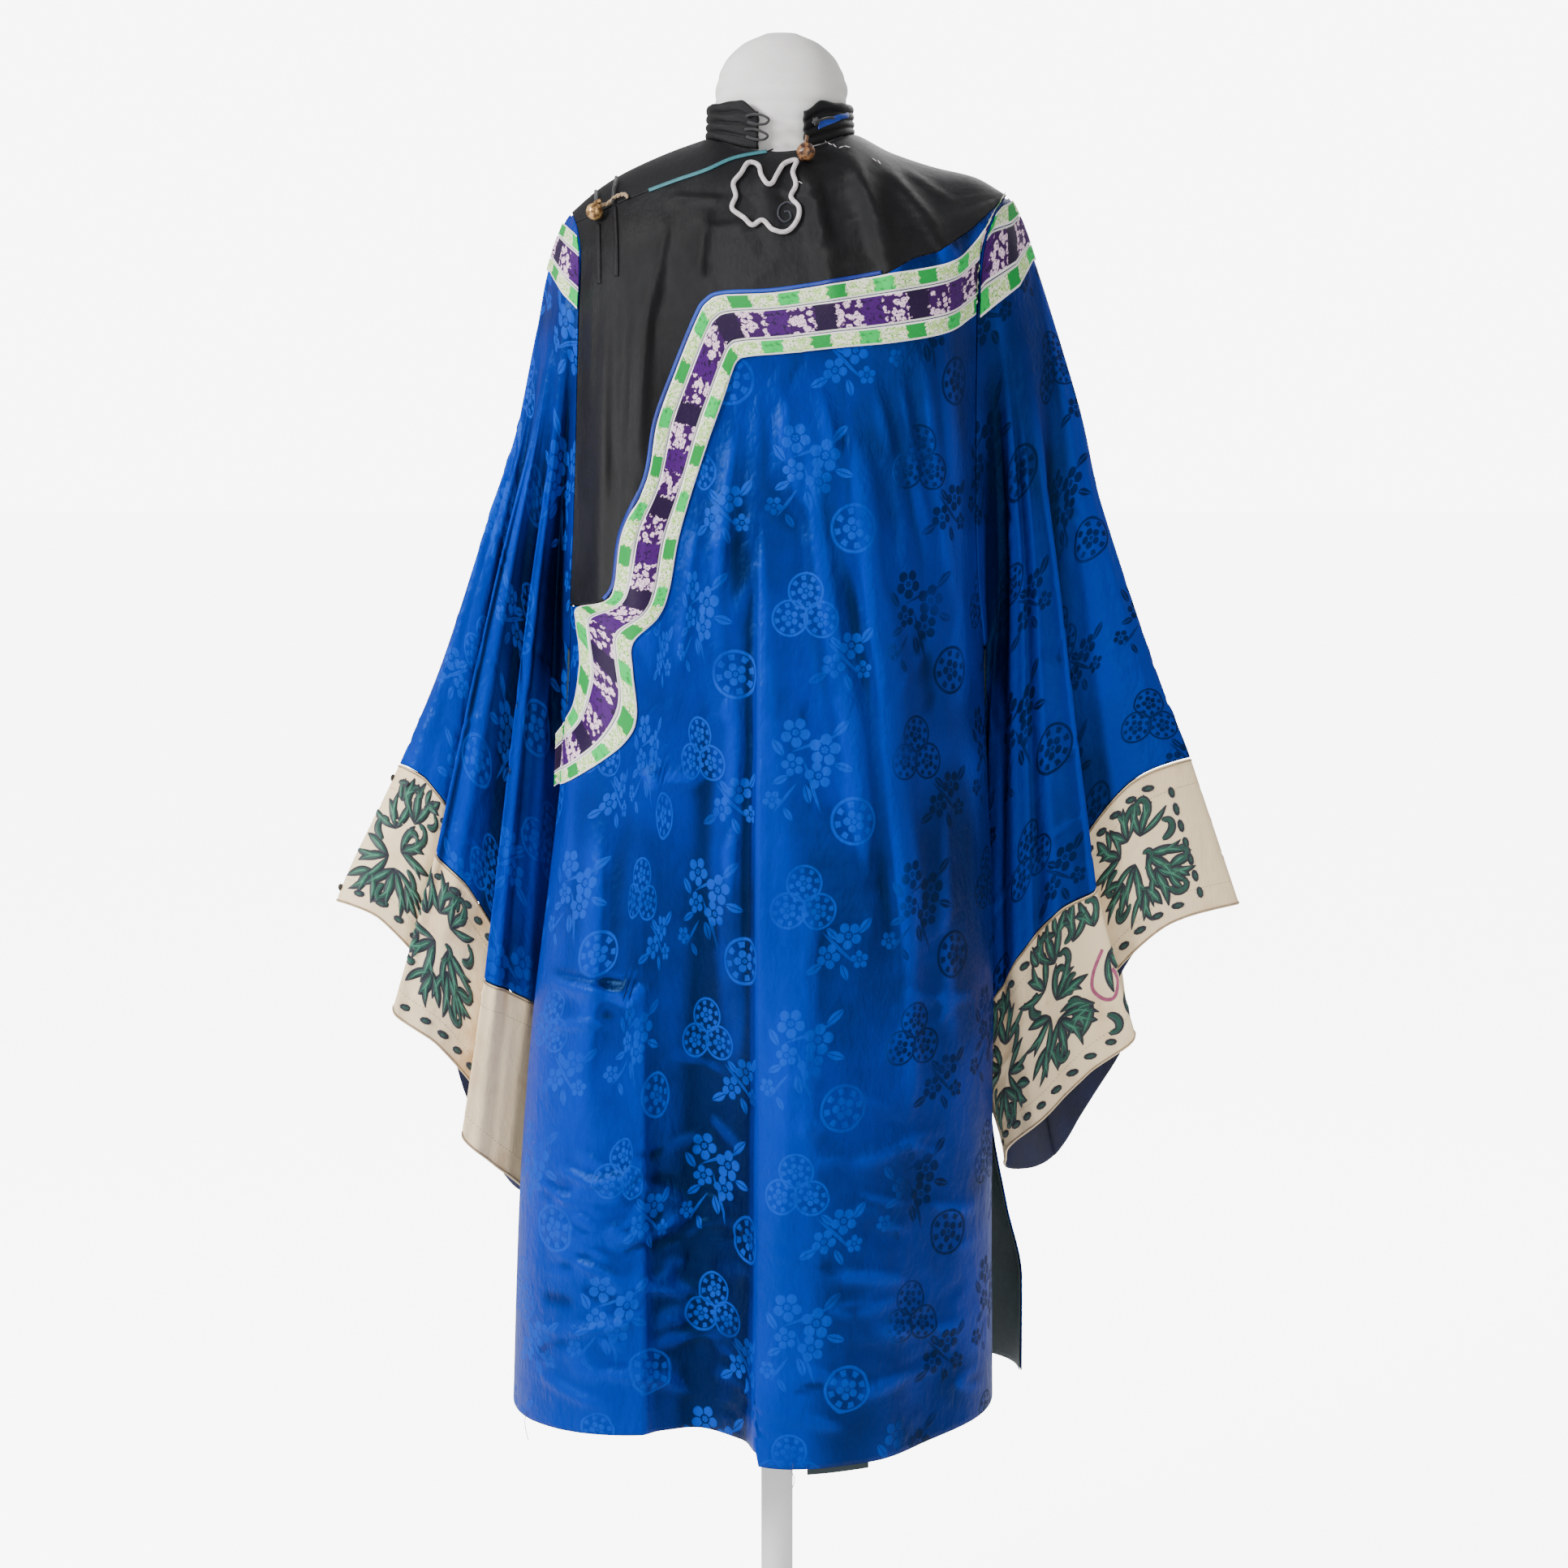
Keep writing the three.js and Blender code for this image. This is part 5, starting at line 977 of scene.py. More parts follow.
def stripUv(points, along0=0.0, width=None):  # along the strip, and across it
    along = np.insert(np.cumsum(np.linalg.norm(np.diff(points, axis=1), axis=2).mean(0)), 0, 0) + along0
    across = np.insert(np.cumsum(np.linalg.norm(np.diff(points, axis=0), axis=2).mean(1)), 0, 0)
    if width:
        across *= width / across[-1]
    return np.stack(np.broadcast_arrays(along[None, :], across[:, None]), -1) / 1000


def guarded(rows):  # the strip without what reaches over an armhole
    x, z = rows[..., 0], rows[..., 1]
    left, right = armhole[-1](z) + ribbonSet["guard"], armhole[1](z) - ribbonSet["guard"]
    return np.stack([np.where(z > ribbonSet["guardFrom"], np.clip(x, left, right), x), z], -1)


edgeShare, gapShare = ribbonSet["edge"], ribbonSet["gap"]
ribbonStrips = [("Upper", 0.0, edgeShare - gapShare, "green"),
                ("Centre", edgeShare + gapShare, 1 - edgeShare - gapShare, "purple"),
                ("Lower", 1 - edgeShare + gapShare, 1.0, "green")]
ribbonOff = robe["trimGap"] + robe["ribbon"]
bodyRibbons = {"front": (-1, ribbonTop + ribbonEndTop, ribbonFoot + ribbonEndFoot), "back": (1, backTop, backFoot)}
for title, low, high, look in ribbonStrips:
    for word, (side, top, foot) in bodyRibbons.items():
        rows = guarded(bandRows(top, foot, low, high, ribbonSet["rowsPer"][look], 16))
        moved = np.abs(np.diff(rows, axis=1)).max(0).sum(-1)
        points = onBody(side, rows[:, np.insert(moved > 0.4, 0, True)], ribbonOff)
        uv = stripUv(points, 0.0, ribbonWidths[look])
        made = clothPiece(f"{word}Ribbon{title}", points, uv, looks[look], flip=True, thickness=robe["ribbon"])
        finished(made, f"{look}_ribbon", f"{word}_ribbon_{title.lower()}")
        sheets.append((made, points, "laid", [f"{word}Silk"]))
print("ribbons laid")


def sewnStrip(name, outline, left, right, look, slotName, node, thickness=0.9):
    path = smoothPath(outline, 12)
    ways = waysAlong(path)
    square = np.stack([-ways[:, 1], ways[:, 0]], -1)
    rows = [path + square * off for off in np.linspace(-left, right, 5)]
    points = np.stack([onBody(-1, row, robe["trimGap"] + thickness * (0.35 + 0.65 * crown))
                       for row, crown in zip(rows, (0.0, 0.55, 0.75, 0.55, 0.0))])
    made = clothPiece(name, points, stripUv(points), looks[look], flip=True, thickness=thickness * 0.6)
    return finished(made, slotName, node)


sewnStrip("openingPiping", opening[1:6], 1.5, 1.5, "teal", "teal_binding", "opening_piping")
sewnStrip("yokePiping", ribbonTop[4:], 3.8, -0.7, "bluePiping", "blue_silk", "yoke_piping")
sewnStrip("tailOuter", [(-146, 1324), (-145, 1300), (-144.6, 1275)], 1.9, 1.9, "black", "black_silk", "tail_outer",
          1.1)
sewnStrip("tailInner", [(-132.6, 1338), (-130, 1310), (-129.2, 1280)], 1.9, 1.9, "black", "black_silk", "tail_inner",
          1.1)

# ---- sleeves and cuffs: fans that hang from the shoulder tips, worked out fold by fold
sleeveSets = {
    "right": {
        "side": 1, "tip": (193, 1352), "outerFold": 7, "liningFrom": 10.5,
        "outer": [(0, 42), (20, 31), (60, 24), (120, 21.3), (190, 19.9), (270, 18.1), (365, 18.3), (440, 18.6),
                  (504, 19.1), (860, 19.2)],
        # fold lines: angle at the cuff and at the mouth, depth, distance to the cuff and to the mouth
        "folds": [(-1.6, 0.9, 42, 718, 850), (-0.8, 0.8, 2, 690, 820), (1.7, 2.8, -22, 640, 790),
                  (4.6, 5.8, -26, 606, 752), (7.9, 9.3, -26, 590, 724), (6.2, 7, -6, 568, 694),
                  (12.5, 12.8, -8, 508, 639), (19.1, 19.2, 10, 504, 640), (13.5, 13.8, 28, 512, 636),
                  (9, 8.8, 30, 556, 690), (9.6, 9.4, 44, 600, 736), (5.4, 6.3, 54, 650, 796), (2.2, 3.6, 56, 704, 846),
                  (-1.6, 0.9, 42, 718, 850)],
        # creases down the fan: at which fold line, from and to where, stands out, width in fold lines
        "rays": [(0.5, 0.3, 0.95, -3, 0.16), (0.9, 0.35, 1.0, 2.4, 0.12), (1.4, 0.25, 1.0, -4, 0.14),
                 (1.8, 0.3, 0.98, 3, 0.12), (2.45, 0.2, 1.0, -4, 0.16), (2.9, 0.25, 1.0, 3, 0.15),
                 (3.5, 0.3, 0.95, -2.6, 0.2), (6.5, 0.35, 1.0, 1.8, 0.14), (5.7, 0.4, 1.0, -2, 0.2),
                 (6.2, 0.12, 0.7, 1.6, 0.16), (8.5, 0.3, 1.0, 2, 0.2), (10.5, 0.3, 1.0, -3, 0.2),
                 (11.4, 0.3, 1.0, 3, 0.2), (12.4, 0.3, 1.0, -3, 0.2)],
    },
    "left": {
        "side": -1, "tip": (-171.5, 1338), "outerFold": 9, "liningFrom": 11.5,
        "outer": [(0, 46), (20, 30), (60, 22), (100, 17.6), (190, 15.2), (270, 16.3), (400, 17.2), (494, 18.4),
                  (627, 19.9), (870, 19.9)],
        "folds": [(2.0, 3.2, 44, 700, 864), (3.2, 4.0, 22, 684, 846), (5.4, 5.6, 2, 668, 824),
                  (7.2, 7.5, -6, 658, 800), (5.9, 6.1, 12, 638, 780), (9.4, 9.8, -2, 582, 726),
                  (12.7, 13.4, -8, 556, 701), (11, 11.5, 9, 536, 670), (15.2, 16, 2, 498, 628),
                  (18.4, 19.9, 18, 494, 627), (14.4, 15, 34, 506, 630), (10.6, 11, 44, 560, 680),
                  (7.6, 8.2, 54, 640, 772), (5, 5.2, 60, 690, 846), (2.0, 3.2, 44, 700, 864)],
        "rays": [(1.4, 0.3, 1.0, 3, 0.16), (2.4, 0.25, 1.0, 3, 0.14), (2.0, 0.35, 0.98, -2.6, 0.14),
                 (3.5, 0.4, 1.0, -2, 0.2), (5.3, 0.2, 1.0, 3, 0.14), (5.65, 0.3, 1.0, -2.4, 0.12),
                 (4.7, 0.25, 1.0, -2.6, 0.18), (8.4, 0.25, 1.0, 2, 0.16), (8.0, 0.3, 1.0, -1.6, 0.16),
                 (7.6, 0.2, 0.9, 1.8, 0.14), (10.5, 0.3, 1.0, 2.4, 0.2), (11.5, 0.3, 1.0, -2.4, 0.2),
                 (12.5, 0.3, 1.0, 3, 0.2), (13.4, 0.3, 1.0, -2.4, 0.18)],
    },
}
fan = {"foldsFrom": 70, "foldsFull": 430, "bulge": 12, "seamGap": 0.9, "sideGap": 2.0, "tuck": 150, "perFold": 12,
       "silkEnd": 0.999, "cuffStart": 1.005, "steep": 20, "seeds": {"left": 21, "right": 23}}


def easeAt(low, high, value):
    t = min(max((value - low) / (high - low), 0), 1)
    return t * t * (3 - 2 * t)


def fanPoint(sleeve, spots, outerAngle, k, v):
    cuffAngle, mouthAngle, depth, cuffAt, mouthAt = sleeve["folds"][k]
    tipX, tipZ = sleeve["tip"]
    side, last = sleeve["side"], len(sleeve["folds"]) - 1
    distance = cuffAt * v if v <= 1 else mix(cuffAt, mouthAt, v - 1)
    front = k <= sleeve["outerFold"]
    share = k / sleeve["outerFold"] if front else (last - k) / (last - sleeve["outerFold"])
    spotX, spotZ = spots(min(distance, spots.reach))
    isOpen = distance < spots.reach - 0.01
    spread = 0 if isOpen else easeAt(spots.reach, spots.reach + fan["tuck"], distance)
    innerAngle = mix(math.degrees(math.atan2(side * (spotX - tipX), tipZ - spotZ)), sleeve["folds"][0][0], spread)
    innerDepth = float(bodyY(-1 if front else 1, spotX, spotZ)) if isOpen else sleeve["folds"][0][2] * spread
    foldAngle = cuffAngle if v <= 1 else mix(cuffAngle, mouthAngle, v - 1)
    end = k in (0, last)
    loose = 0 if end else easeAt(fan["foldsFrom"], fan["foldsFull"], distance)
    bulge = (-1 if front else 1) * fan["bulge"] * math.sin(math.pi * share) * easeAt(0, 60, distance)
    plain = mix(innerAngle, float(outerAngle(distance)), share)
    mouth = mix(innerAngle, mouthAngle, easeAt(1, 2, v)) if end else foldAngle
    angle = float(outerAngle(distance)) if k == sleeve["outerFold"] else mix(plain, mouth, 1 if end else loose)
    y = mix(innerDepth * (1 - share) + bulge, depth, loose)
    z = tipZ - distance * math.cos(math.radians(angle))
    away = mix(fan["seamGap"], fan["sideGap"], easeAt(robe["armpit"], robe["armpit"] - 70, z))
    least = float(armhole[side](z) if z > robe["armpit"] else bodySide(side, y, z)) * side + away
    x = tipX + side * max(distance * math.sin(math.radians(angle)), least - side * tipX)
    return np.array([x, y, z])


class ArmholeSpots:  # the place on the armhole at a distance from the shoulder tip
    def __init__(self, sleeve):
        heights = np.linspace(robe["armpit"], sleeve["tip"][1], 800)
        xs = armhole[sleeve["side"]](heights)
        away = np.hypot(xs - sleeve["tip"][0], sleeve["tip"][1] - heights)
        order = np.argsort(away)
        self.away, self.xs, self.heights = away[order], xs[order], heights[order]
        self.reach = float(away[0])

    def __call__(self, distance):
        return float(np.interp(distance, self.away, self.xs)), float(np.interp(distance, self.away, self.heights))


def fanGrid(sleeve, stops):
    spots, outerAngle = ArmholeSpots(sleeve), curve(*zip(*sleeve["outer"]))
    last, per, steep = len(sleeve["folds"]) - 1, fan["perFold"], fan["steep"]
    shutFrom = spots.reach / sleeve["folds"][0][3]
    rows = []
    for v in stops:
        ring = [fanPoint(sleeve, spots, outerAngle, k, v) for k in range(last + 1)]
        shut = v >= shutFrom - 1e-6
        before = ring[last - 1] if shut else 2 * ring[0] - ring[1]
        after = ring[1] if shut else 2 * ring[last] - ring[last - 1]
        around = [before, *ring, after]
        rows.append([rounded(*around[k:k + 4], s / per) for k in range(last) for s in range(per)] + [ring[last]])
    points = np.array(rows)
    columnAt = np.arange(points.shape[1]) / per
    v = np.asarray(stops)[:, None]
    lift = np.zeros(points.shape[:2])
    for at, low, high, out, width in sleeve["rays"]:
        taper = ease(low, low + 0.25, v) * (1 - 0.5 * ease(high - 0.08, high + 0.4, v))
        lift += out * taper * np.exp(-(((columnAt - at) / width) ** 2))
    for ax, av, bx, bv, out, width in sleeve["dents"]:
        dx, dv, fromX, fromV = bx - ax, steep * (bv - av), columnAt - ax, steep * (v - av)
        along = (fromX * dx + fromV * dv) / (dx**2 + dv**2)
        away = np.abs(fromX * dv - fromV * dx) / math.hypot(dx, dv)
        lift += out * ease(0, 0.3, along) * (1 - ease(0.7, 1, along)) * np.exp(-((away / width) ** 2))
    lift *= ease(0, 0.6, columnAt) * ease(0, 0.6, last - columnAt) * ease(0.05, 0.25, v)
    return points - sleeve["side"] * normalsOf(points) * lift[..., None]


def fanDents(seed, last, count, vRange, out):  # small crumples across the fan
    random = np.random.default_rng(seed)
    found = []
    for _ in range(count):
        k, v = random.uniform(0.4, last - 0.4), random.uniform(*vRange)
        way, reach = random.uniform(0, math.pi), random.uniform(0.4, 1.0)
        dk, dv = reach * math.cos(way), reach * math.sin(way) / fan["steep"]
        found.append((k - dk, v - dv, k + dk, v + dv, random.uniform(*out) * random.choice([-1, 1]),
                      random.uniform(0.06, 0.14)))
    return found


def fanUv(points, sleeve, centreFold):  # the fan unrolled flat about its tip
    centre = int(centreFold * fan["perFold"])
    across = runs(points, 1)
    across -= across[:, centre][:, None]
    tip = np.array([sleeve["tip"][0], 0, sleeve["tip"][1]])
    away = np.maximum(np.linalg.norm(points[:, centre] - tip, axis=1), 20)[:, None]
    turn = across / away
    return np.stack([away * np.sin(turn), -away * np.cos(turn)], -1) / 1000


cuffGrids = {}
for word, sleeve in sleeveSets.items():
    title, last, flipped, seed = word.capitalize(), len(sleeve["folds"]) - 1, sleeve["side"] < 0, fan["seeds"][word]
    sleeve["dents"] = fanDents(seed, last, 110, (0.35, 0.97), (0.4, 1.3))
    sleeve["dents"] += fanDents(seed + 10, last, 60, (1.02, 1.98), (0.4, 1.2))
    shutFrom = ArmholeSpots(sleeve).reach / sleeve["folds"][0][3]
    stops = np.concatenate([np.linspace(0.006, shutFrom, 70), np.linspace(shutFrom, fan["silkEnd"], 84)[1:]])
    points = fanGrid(sleeve, stops)
    cutCloth(f"sleeve{title}", points, fanUv(points, sleeve, sleeve["outerFold"] - 3), "silk", "blue_silk",
             f"sleeve_{word}", "hung", "frontSilk", "lining", closedRows=np.arange(len(stops)) >= 69, flip=flipped)
    points = fanGrid(sleeve, np.linspace(fan["cuffStart"], 2.0, 44))
    normals = normalsOf(points) * -sleeve["side"]
    cuffGrids[word] = (points, normals)
    along, down = runs(points[len(points) // 2]), runs(points.mean(1))
    uv = np.stack(np.broadcast_arrays(along[None, :], down[:, None]), -1) / 1000
    cutCloth(f"cuff{title}", points, uv, "cream", "cream_satin", f"cuff_{word}", "hung", f"sleeve{title}", "navy",
             closedRows=np.full(len(points), True), flip=flipped)
    # the lining that shows inside the cuff's back
    first, stop = int(sleeve["liningFrom"] * fan["perFold"]), (last - 1) * fan["perFold"]
    inner = (points - normals * (robe["cloth"] + 0.9))[1:, first:stop]
    cutCloth(f"cuffLining{title}", inner, uv[1:, first:stop], "navy", "teal_lining", f"cuff_lining_{word}", "hung",
             f"cuff{title}", flip=flipped, thickness=0.7)
print("sleeves and cuffs made")

# ---- ribbons round the top of each sleeve


def fanBand(points, top, foot, low, high, across, outward):  # the sleeve's cloth between two lines across it
    rows, cols = points.shape[:2]
    found = np.zeros((across, cols, 3))
    normals = normalsOf(points) * outward
    for c in range(cols):
        marks = []
        for edge in (line(top), line(foot)):
            above = points[:, c, 2] - edge(points[:, c, 0])
            under = np.nonzero(above < 0)[0]
            at = float(under[0]) if len(under) else rows - 1.0
            if at >= 1:
                a, b = above[int(at) - 1], above[int(at)]
                at = at - 1 + a / (a - b)
            marks.append(at)
        at = mix(marks[0], marks[1], mix(low, high, np.linspace(0, 1, across)))
        i = np.clip(at.astype(int), 0, rows - 2)
        t = (at - i)[:, None]
        found[:, c] = mix(points[i, c], points[i + 1, c], t) + mix(normals[i, c], normals[i + 1, c], t) * ribbonOff
    return found


for word, sleeve in sleeveSets.items():
    points = fanGrid(sleeve, np.linspace(0.008, 0.3, 96))
    for title, low, high, look in ribbonStrips:
        across = ribbonSet["rowsPer"][look]
        grid = fanBand(points, *sleeveRibbons[sleeve["side"]], low, high, across, -sleeve["side"])[:, 2:-2]
        cutCloth(f"{word}SleeveRibbon{title}", grid, stripUv(grid, 9.0, ribbonWidths[look]), look, f"{look}_ribbon",
                 f"{word}_sleeve_ribbon_{title.lower()}", "laid", f"sleeve{word.capitalize()}",
                 flip=sleeve["side"] < 0, thickness=robe["ribbon"])
print("sleeve ribbons laid")

# ---- linings where they show
liningRows, liningColumns = backSilkPoints[:, 0, 2] < 707, backMarks >= 0.85
liningPoints = backSilkPoints + normalsOf(backSilkPoints) * (robe["cloth"] + 0.8)
liningPoints = liningPoints[np.ix_(liningRows, liningColumns)]
cutCloth("backLining", liningPoints, rowUv(liningPoints, 0), "lining", "teal_lining", "back_lining", "hung",
         "backSilk", thickness=0.7)
hemX, hemZ = np.meshgrid(np.linspace(26, 78, 24), np.linspace(299, 350, 20))
hemPoints = np.stack([hemX, bodyY(-1, hemX, hemZ), hemZ], -1)
hemPoints = hemPoints - normalsOf(hemPoints) * 3.0
cutCloth("hemLining", hemPoints, rowUv(hemPoints, 0), "lining", "teal_lining", "hem_lining", "hung", "frontSilk",
         flip=True, thickness=0.7)

# ---- the standing collar: padded ridges round the neck, open at the front
collarSet = {"from": -15.0, "to": 23.0, "top": 1424.0, "ridges": 4, "ridgeOut": 2.0, "columns": 150, "perRidge": 10,
             "wall": 2.2, "grow": -1.2}
neckSet = robe["neck"]


def neckAngle(x):
    return math.asin((x - neckSet["x"]) / neckSet["half"])


def collarFeet(angles):
    return np.array([neckPoint(a, collarSet["grow"])[2] for a in angles])


def collarSpot(angle, footZ, up, out, end):  # a place on the collar: round it, up it and out from it
    front = np.cos(angle) > 0
    ridge = np.abs(np.sin(math.pi * up * collarSet["ridges"])) ** 0.6 * collarSet["ridgeOut"]
    grow = collarSet["grow"] - 1.2 * up + ridge + out
    uneven = 0.5 * np.sin(angle * 7 + up * 5) + 0.3 * np.sin(angle * 17 + up * 9)
    x = neckSet["x"] + (neckSet["half"] + grow) * np.sin(angle)
    y = -np.cos(angle) * (np.where(front, neckSet["front"], neckSet["back"]) + grow)
    top = collarSet["top"] - 10 * (1 - ease(0, 0.1, end)) + uneven
    return np.stack(np.broadcast_arrays(x, y, mix(footZ - 1, top, up)), -1)


collarAngles = np.linspace(neckAngle(collarSet["from"]), neckAngle(collarSet["to"]) - 2 * math.pi,
                           collarSet["columns"])
collarEnds = np.minimum(np.linspace(0, 1, collarSet["columns"]), np.linspace(1, 0, collarSet["columns"])) * 2
collarUps = np.linspace(0, 1, collarSet["ridges"] * collarSet["perRidge"] + 1)[:, None]
collarPoints = collarSpot(collarAngles[None], collarFeet(collarAngles)[None], collarUps, 0, collarEnds[None])
cutCloth("collarSatin", collarPoints, stripUv(collarPoints), "black", "black_silk", "collar", "gathered", "frontYoke",
         thickness=collarSet["wall"])
patchAngles = np.linspace(math.radians(30), math.radians(66), 26)
patchUps = mix(np.linspace(0.34, 0.56, 26)[None], np.linspace(0.50, 0.74, 26)[None], np.linspace(0, 1, 9)[:, None])
patchPoints = collarSpot(patchAngles[None], collarFeet(patchAngles)[None], patchUps, 0.5, 1)
made = clothPiece("collarPatch", patchPoints, stripUv(patchPoints), looks["bluePiping"], flip=True, thickness=0.4)
finished(made, "blue_silk")
print("collar made")

# ---- cords, loops, knot and buttons


def cordPiece(name, parts, material, slotName, *nodes):
    points, faces = joined(parts)
    return finished(makeObject(name, points, faces, material), slotName, *nodes)


def collarPath(degrees, ups, outs):
    angles = np.radians(degrees)
    return collarSpot(angles, collarFeet(angles), np.asarray(ups, float), np.asarray(outs, float), 1)


collarLoopRows = [  # angles in degrees, heights on the collar and how far the loop stands out
    ([-26, -20, -13, -8, -11, -18, -25], [0.66, 0.68, 0.66, 0.58, 0.5, 0.5, 0.54], [0.6, 1.4, 2.4, 3, 2.6, 1.6, 0.6]),
    ([-27, -20, -14, -9, -12, -19, -26], [0.38, 0.4, 0.36, 0.28, 0.2, 0.2, 0.24], [0.6, 1.4, 2.2, 2.8, 2.4, 1.4, 0.6]),
]
collarLoops = [tube(smoothPath(collarPath(*row), 6), 1.1) for row in collarLoopRows]
cordPiece("collarLoops", collarLoops, threads["black"], "black_silk")
knotAt = neckPoint(neckAngle(31), 3.2)
knotAt[2] = 1406
knotParts = []
for tilt in (0.3, 1.35, 2.4):  # three turns of cord make the knot
    turn = np.linspace(0, 2 * math.pi, 24, endpoint=False)
    ring = np.stack([np.cos(turn) * math.cos(tilt), np.sin(turn), np.cos(turn) * math.sin(tilt)], -1)
    knotParts.append(tube(knotAt + 2.3 * ring, 1.25, 8, closed=True))
knotParts.append(tube(smoothPath([knotAt + [3, 1, 1], knotAt + [9, 2.0, 3], knotAt + [15, 5.5, 3.4]], 8), 1.1))
cordPiece("collarKnot", knotParts, threads["black"], "black_silk", "collar_knot")


def beadPiece(name, centre, radius, look, node, lobes, shank):  # a cast ball button with a shank and lobes
    rings, sides, points = 22, 36, []
    for i in range(1, rings):
        a = math.pi * i / rings
        for k in range(sides):
            b = 2 * math.pi * k / sides
            r = radius * (1 - 0.045 * (1 - abs(math.cos(lobes * b / 2))) * math.sin(a) - 0.03 * abs(math.cos(4 * a)))
            points.append(centre + r * np.array([math.sin(a) * math.cos(b), -math.cos(a), math.sin(a) * math.sin(b)]))
    faces = ringQuads(rings - 1, sides)
    poles, lastRing = len(points), (rings - 2) * sides
    points += [centre - [0, radius * 0.96, 0], centre + [0, radius * 0.96, 0]]
    for k in range(sides):
        n = (k + 1) % sides
        faces += [[poles, k, n], [poles + 1, lastRing + n, lastRing + k]]
    neck = tube(smoothPath([centre + [0, 0, radius * 0.9], centre + [shank[0], 1, shank[1]]], 8), 1.6)
    return cordPiece(name, [(points, faces), neck], looks[look], f"{look}_button", node)


beadPiece("neckButton", onFront(24, 1374, 7.7), 7.9, "brown", "neck_button", 6, (1, 13))
beadPiece("shoulderButton", onFront(-145, 1330, 7.5), 7.4, "brass", "shoulder_button", 8, (5, 9))


def twisted(path, radius, turns):  # two strands laid round each other
    path = smoothPath(path, 12)
    along = np.linspace(0, turns * 2 * math.pi, len(path))
    parts = []
    for start in (0, math.pi):
        shift = np.stack([np.zeros(len(path)), -np.cos(along + start), np.sin(along + start)], -1) * radius * 0.75
        parts.append(tube(path + shift, radius, 8))
    return parts


loopSpots = ((-141, 1336, 6.0), (-137, 1339, 3.2), (-131, 1345, 2.4), (-124, 1347, 2.2), (-121, 1344.5, 2.0))
loopPath = [onFront(*spot) for spot in loopSpots]
cordPiece("shoulderLoop", twisted(loopPath, 1.1, 4), threads["tan"], "brass_button", "shoulder_loop")
tailPaths = ([(-146.5, 1330), (-147, 1341), (-148, 1351)], [(-133, 1340), (-132.5, 1352), (-131, 1362)])
tailStubs = [tube([onFront(x, z, 2.4 + 0.6 * k) for k, (x, z) in enumerate(path)], 1.5) for path in tailPaths]
cordPiece("tailStubs", tailStubs, threads["black"], "black_silk")

# ---- a couched cord on the yoke: a plain cloud with a curl, of this robe's own drawing
cloudSet = {"middle": (-5.5, 1344.0), "radius": 2.0, "lift": 1.8}
cloudOutline = [(-17, 26), (-23, 17), (-29, 9), (-27, -1), (-30, -11), (-22, -18), (-14, -25), (-5, -21), (4, -29),
                (14, -30), (22, -22), (24, -11), (18, -2), (22, 8), (19, 18), (22, 28), (12, 25), (6, 16), (0, 8),
                (-6, 15), (-9, 24)]
cloudCurl = [(20, -8), (14, -6), (8, -10), (7, -17), (12, -22), (17, -19), (16, -14), (12, -14)]


def onYoke(points, closed, out):
    middleX, middleZ = cloudSet["middle"]
    return onBody(-1, [smoothPath([(middleX + u, middleZ + v) for u, v in points], 8, closed)], out)[0]


cloudPath = onYoke(cloudOutline, True, cloudSet["lift"])
cloudParts = [tube(cloudPath, cloudSet["radius"], closed=True)]
cordPiece("cloudCord", cloudParts, threads["white"], "cream_satin")
cordPiece("cloudCurl", [tube(onYoke(cloudCurl, False, 0.6), 0.7, 6)], threads["ink"], "black_silk")
print("cords and buttons made")

# ---- marks that are sewn on: stitches and leaf-shaped marks, set out by Geometry Nodes
markTree = bpy.data.node_groups.new("sewnMarks", "GeometryNodeTree")
markInputs = {}
for socketName, kind, value in (("Geometry", "Geometry", None), ("Length", "Float", 0.004), ("Width", "Float", 0.001),
                                ("Height", "Float", 0.0008), ("Uneven", "Float", 0.2), ("Seed", "Int", 4),
                                ("Thread", "Material", None)):
    socket = markTree.interface.new_socket(socketName, in_out="INPUT", socket_type=f"NodeSocket{kind}")
    if value is not None:
        socket.default_value = value
    markInputs[socketName] = socket.identifier
markTree.interface.new_socket("Geometry", in_out="OUTPUT", socket_type="NodeSocketGeometry")
markIn = addNode(markTree, "NodeGroupInput").outputs
markPoints = addNode(markTree, "GeometryNodeMeshToPoints", {"Mesh": markIn["Geometry"]}).outputs["Points"]
markShape = addNode(markTree, "GeometryNodeMeshUVSphere", {"Segments": 8, "Rings": 6, "Radius": 0.5}).outputs["Mesh"]
markLeast = calc(markTree, "SUBTRACT", 1.0, markIn["Uneven"])
markRandom = addNode(markTree, "FunctionNodeRandomValue", {2: markLeast, "Seed": markIn["Seed"]}, data_type="FLOAT")
markLength = calc(markTree, "MULTIPLY", markRandom.outputs[1], markIn["Length"])
markSize = addNode(markTree, "ShaderNodeCombineXYZ", {0: markLength, 1: markIn["Width"], 2: markIn["Height"]})
markWay, markOut = (
    addNode(markTree, "GeometryNodeInputNamedAttribute", {"Name": name}, data_type="FLOAT_VECTOR").outputs["Attribute"]
    for name in ("way", "outward"))
turnAlong = addNode(markTree, "FunctionNodeAlignRotationToVector", {"Vector": markWay}, axis="X").outputs[0]
turnOut = addNode(markTree, "FunctionNodeAlignRotationToVector", {"Rotation": turnAlong, "Vector": markOut}, axis="Z",
                  pivot_axis="X").outputs[0]
markInstances = addNode(markTree, "GeometryNodeInstanceOnPoints", {
    "Points": markPoints, "Instance": markShape, "Scale": markSize.outputs[0], "Rotation": turnOut}).outputs[0]
markReal = addNode(markTree, "GeometryNodeRealizeInstances", {"Geometry": markInstances}).outputs[0]
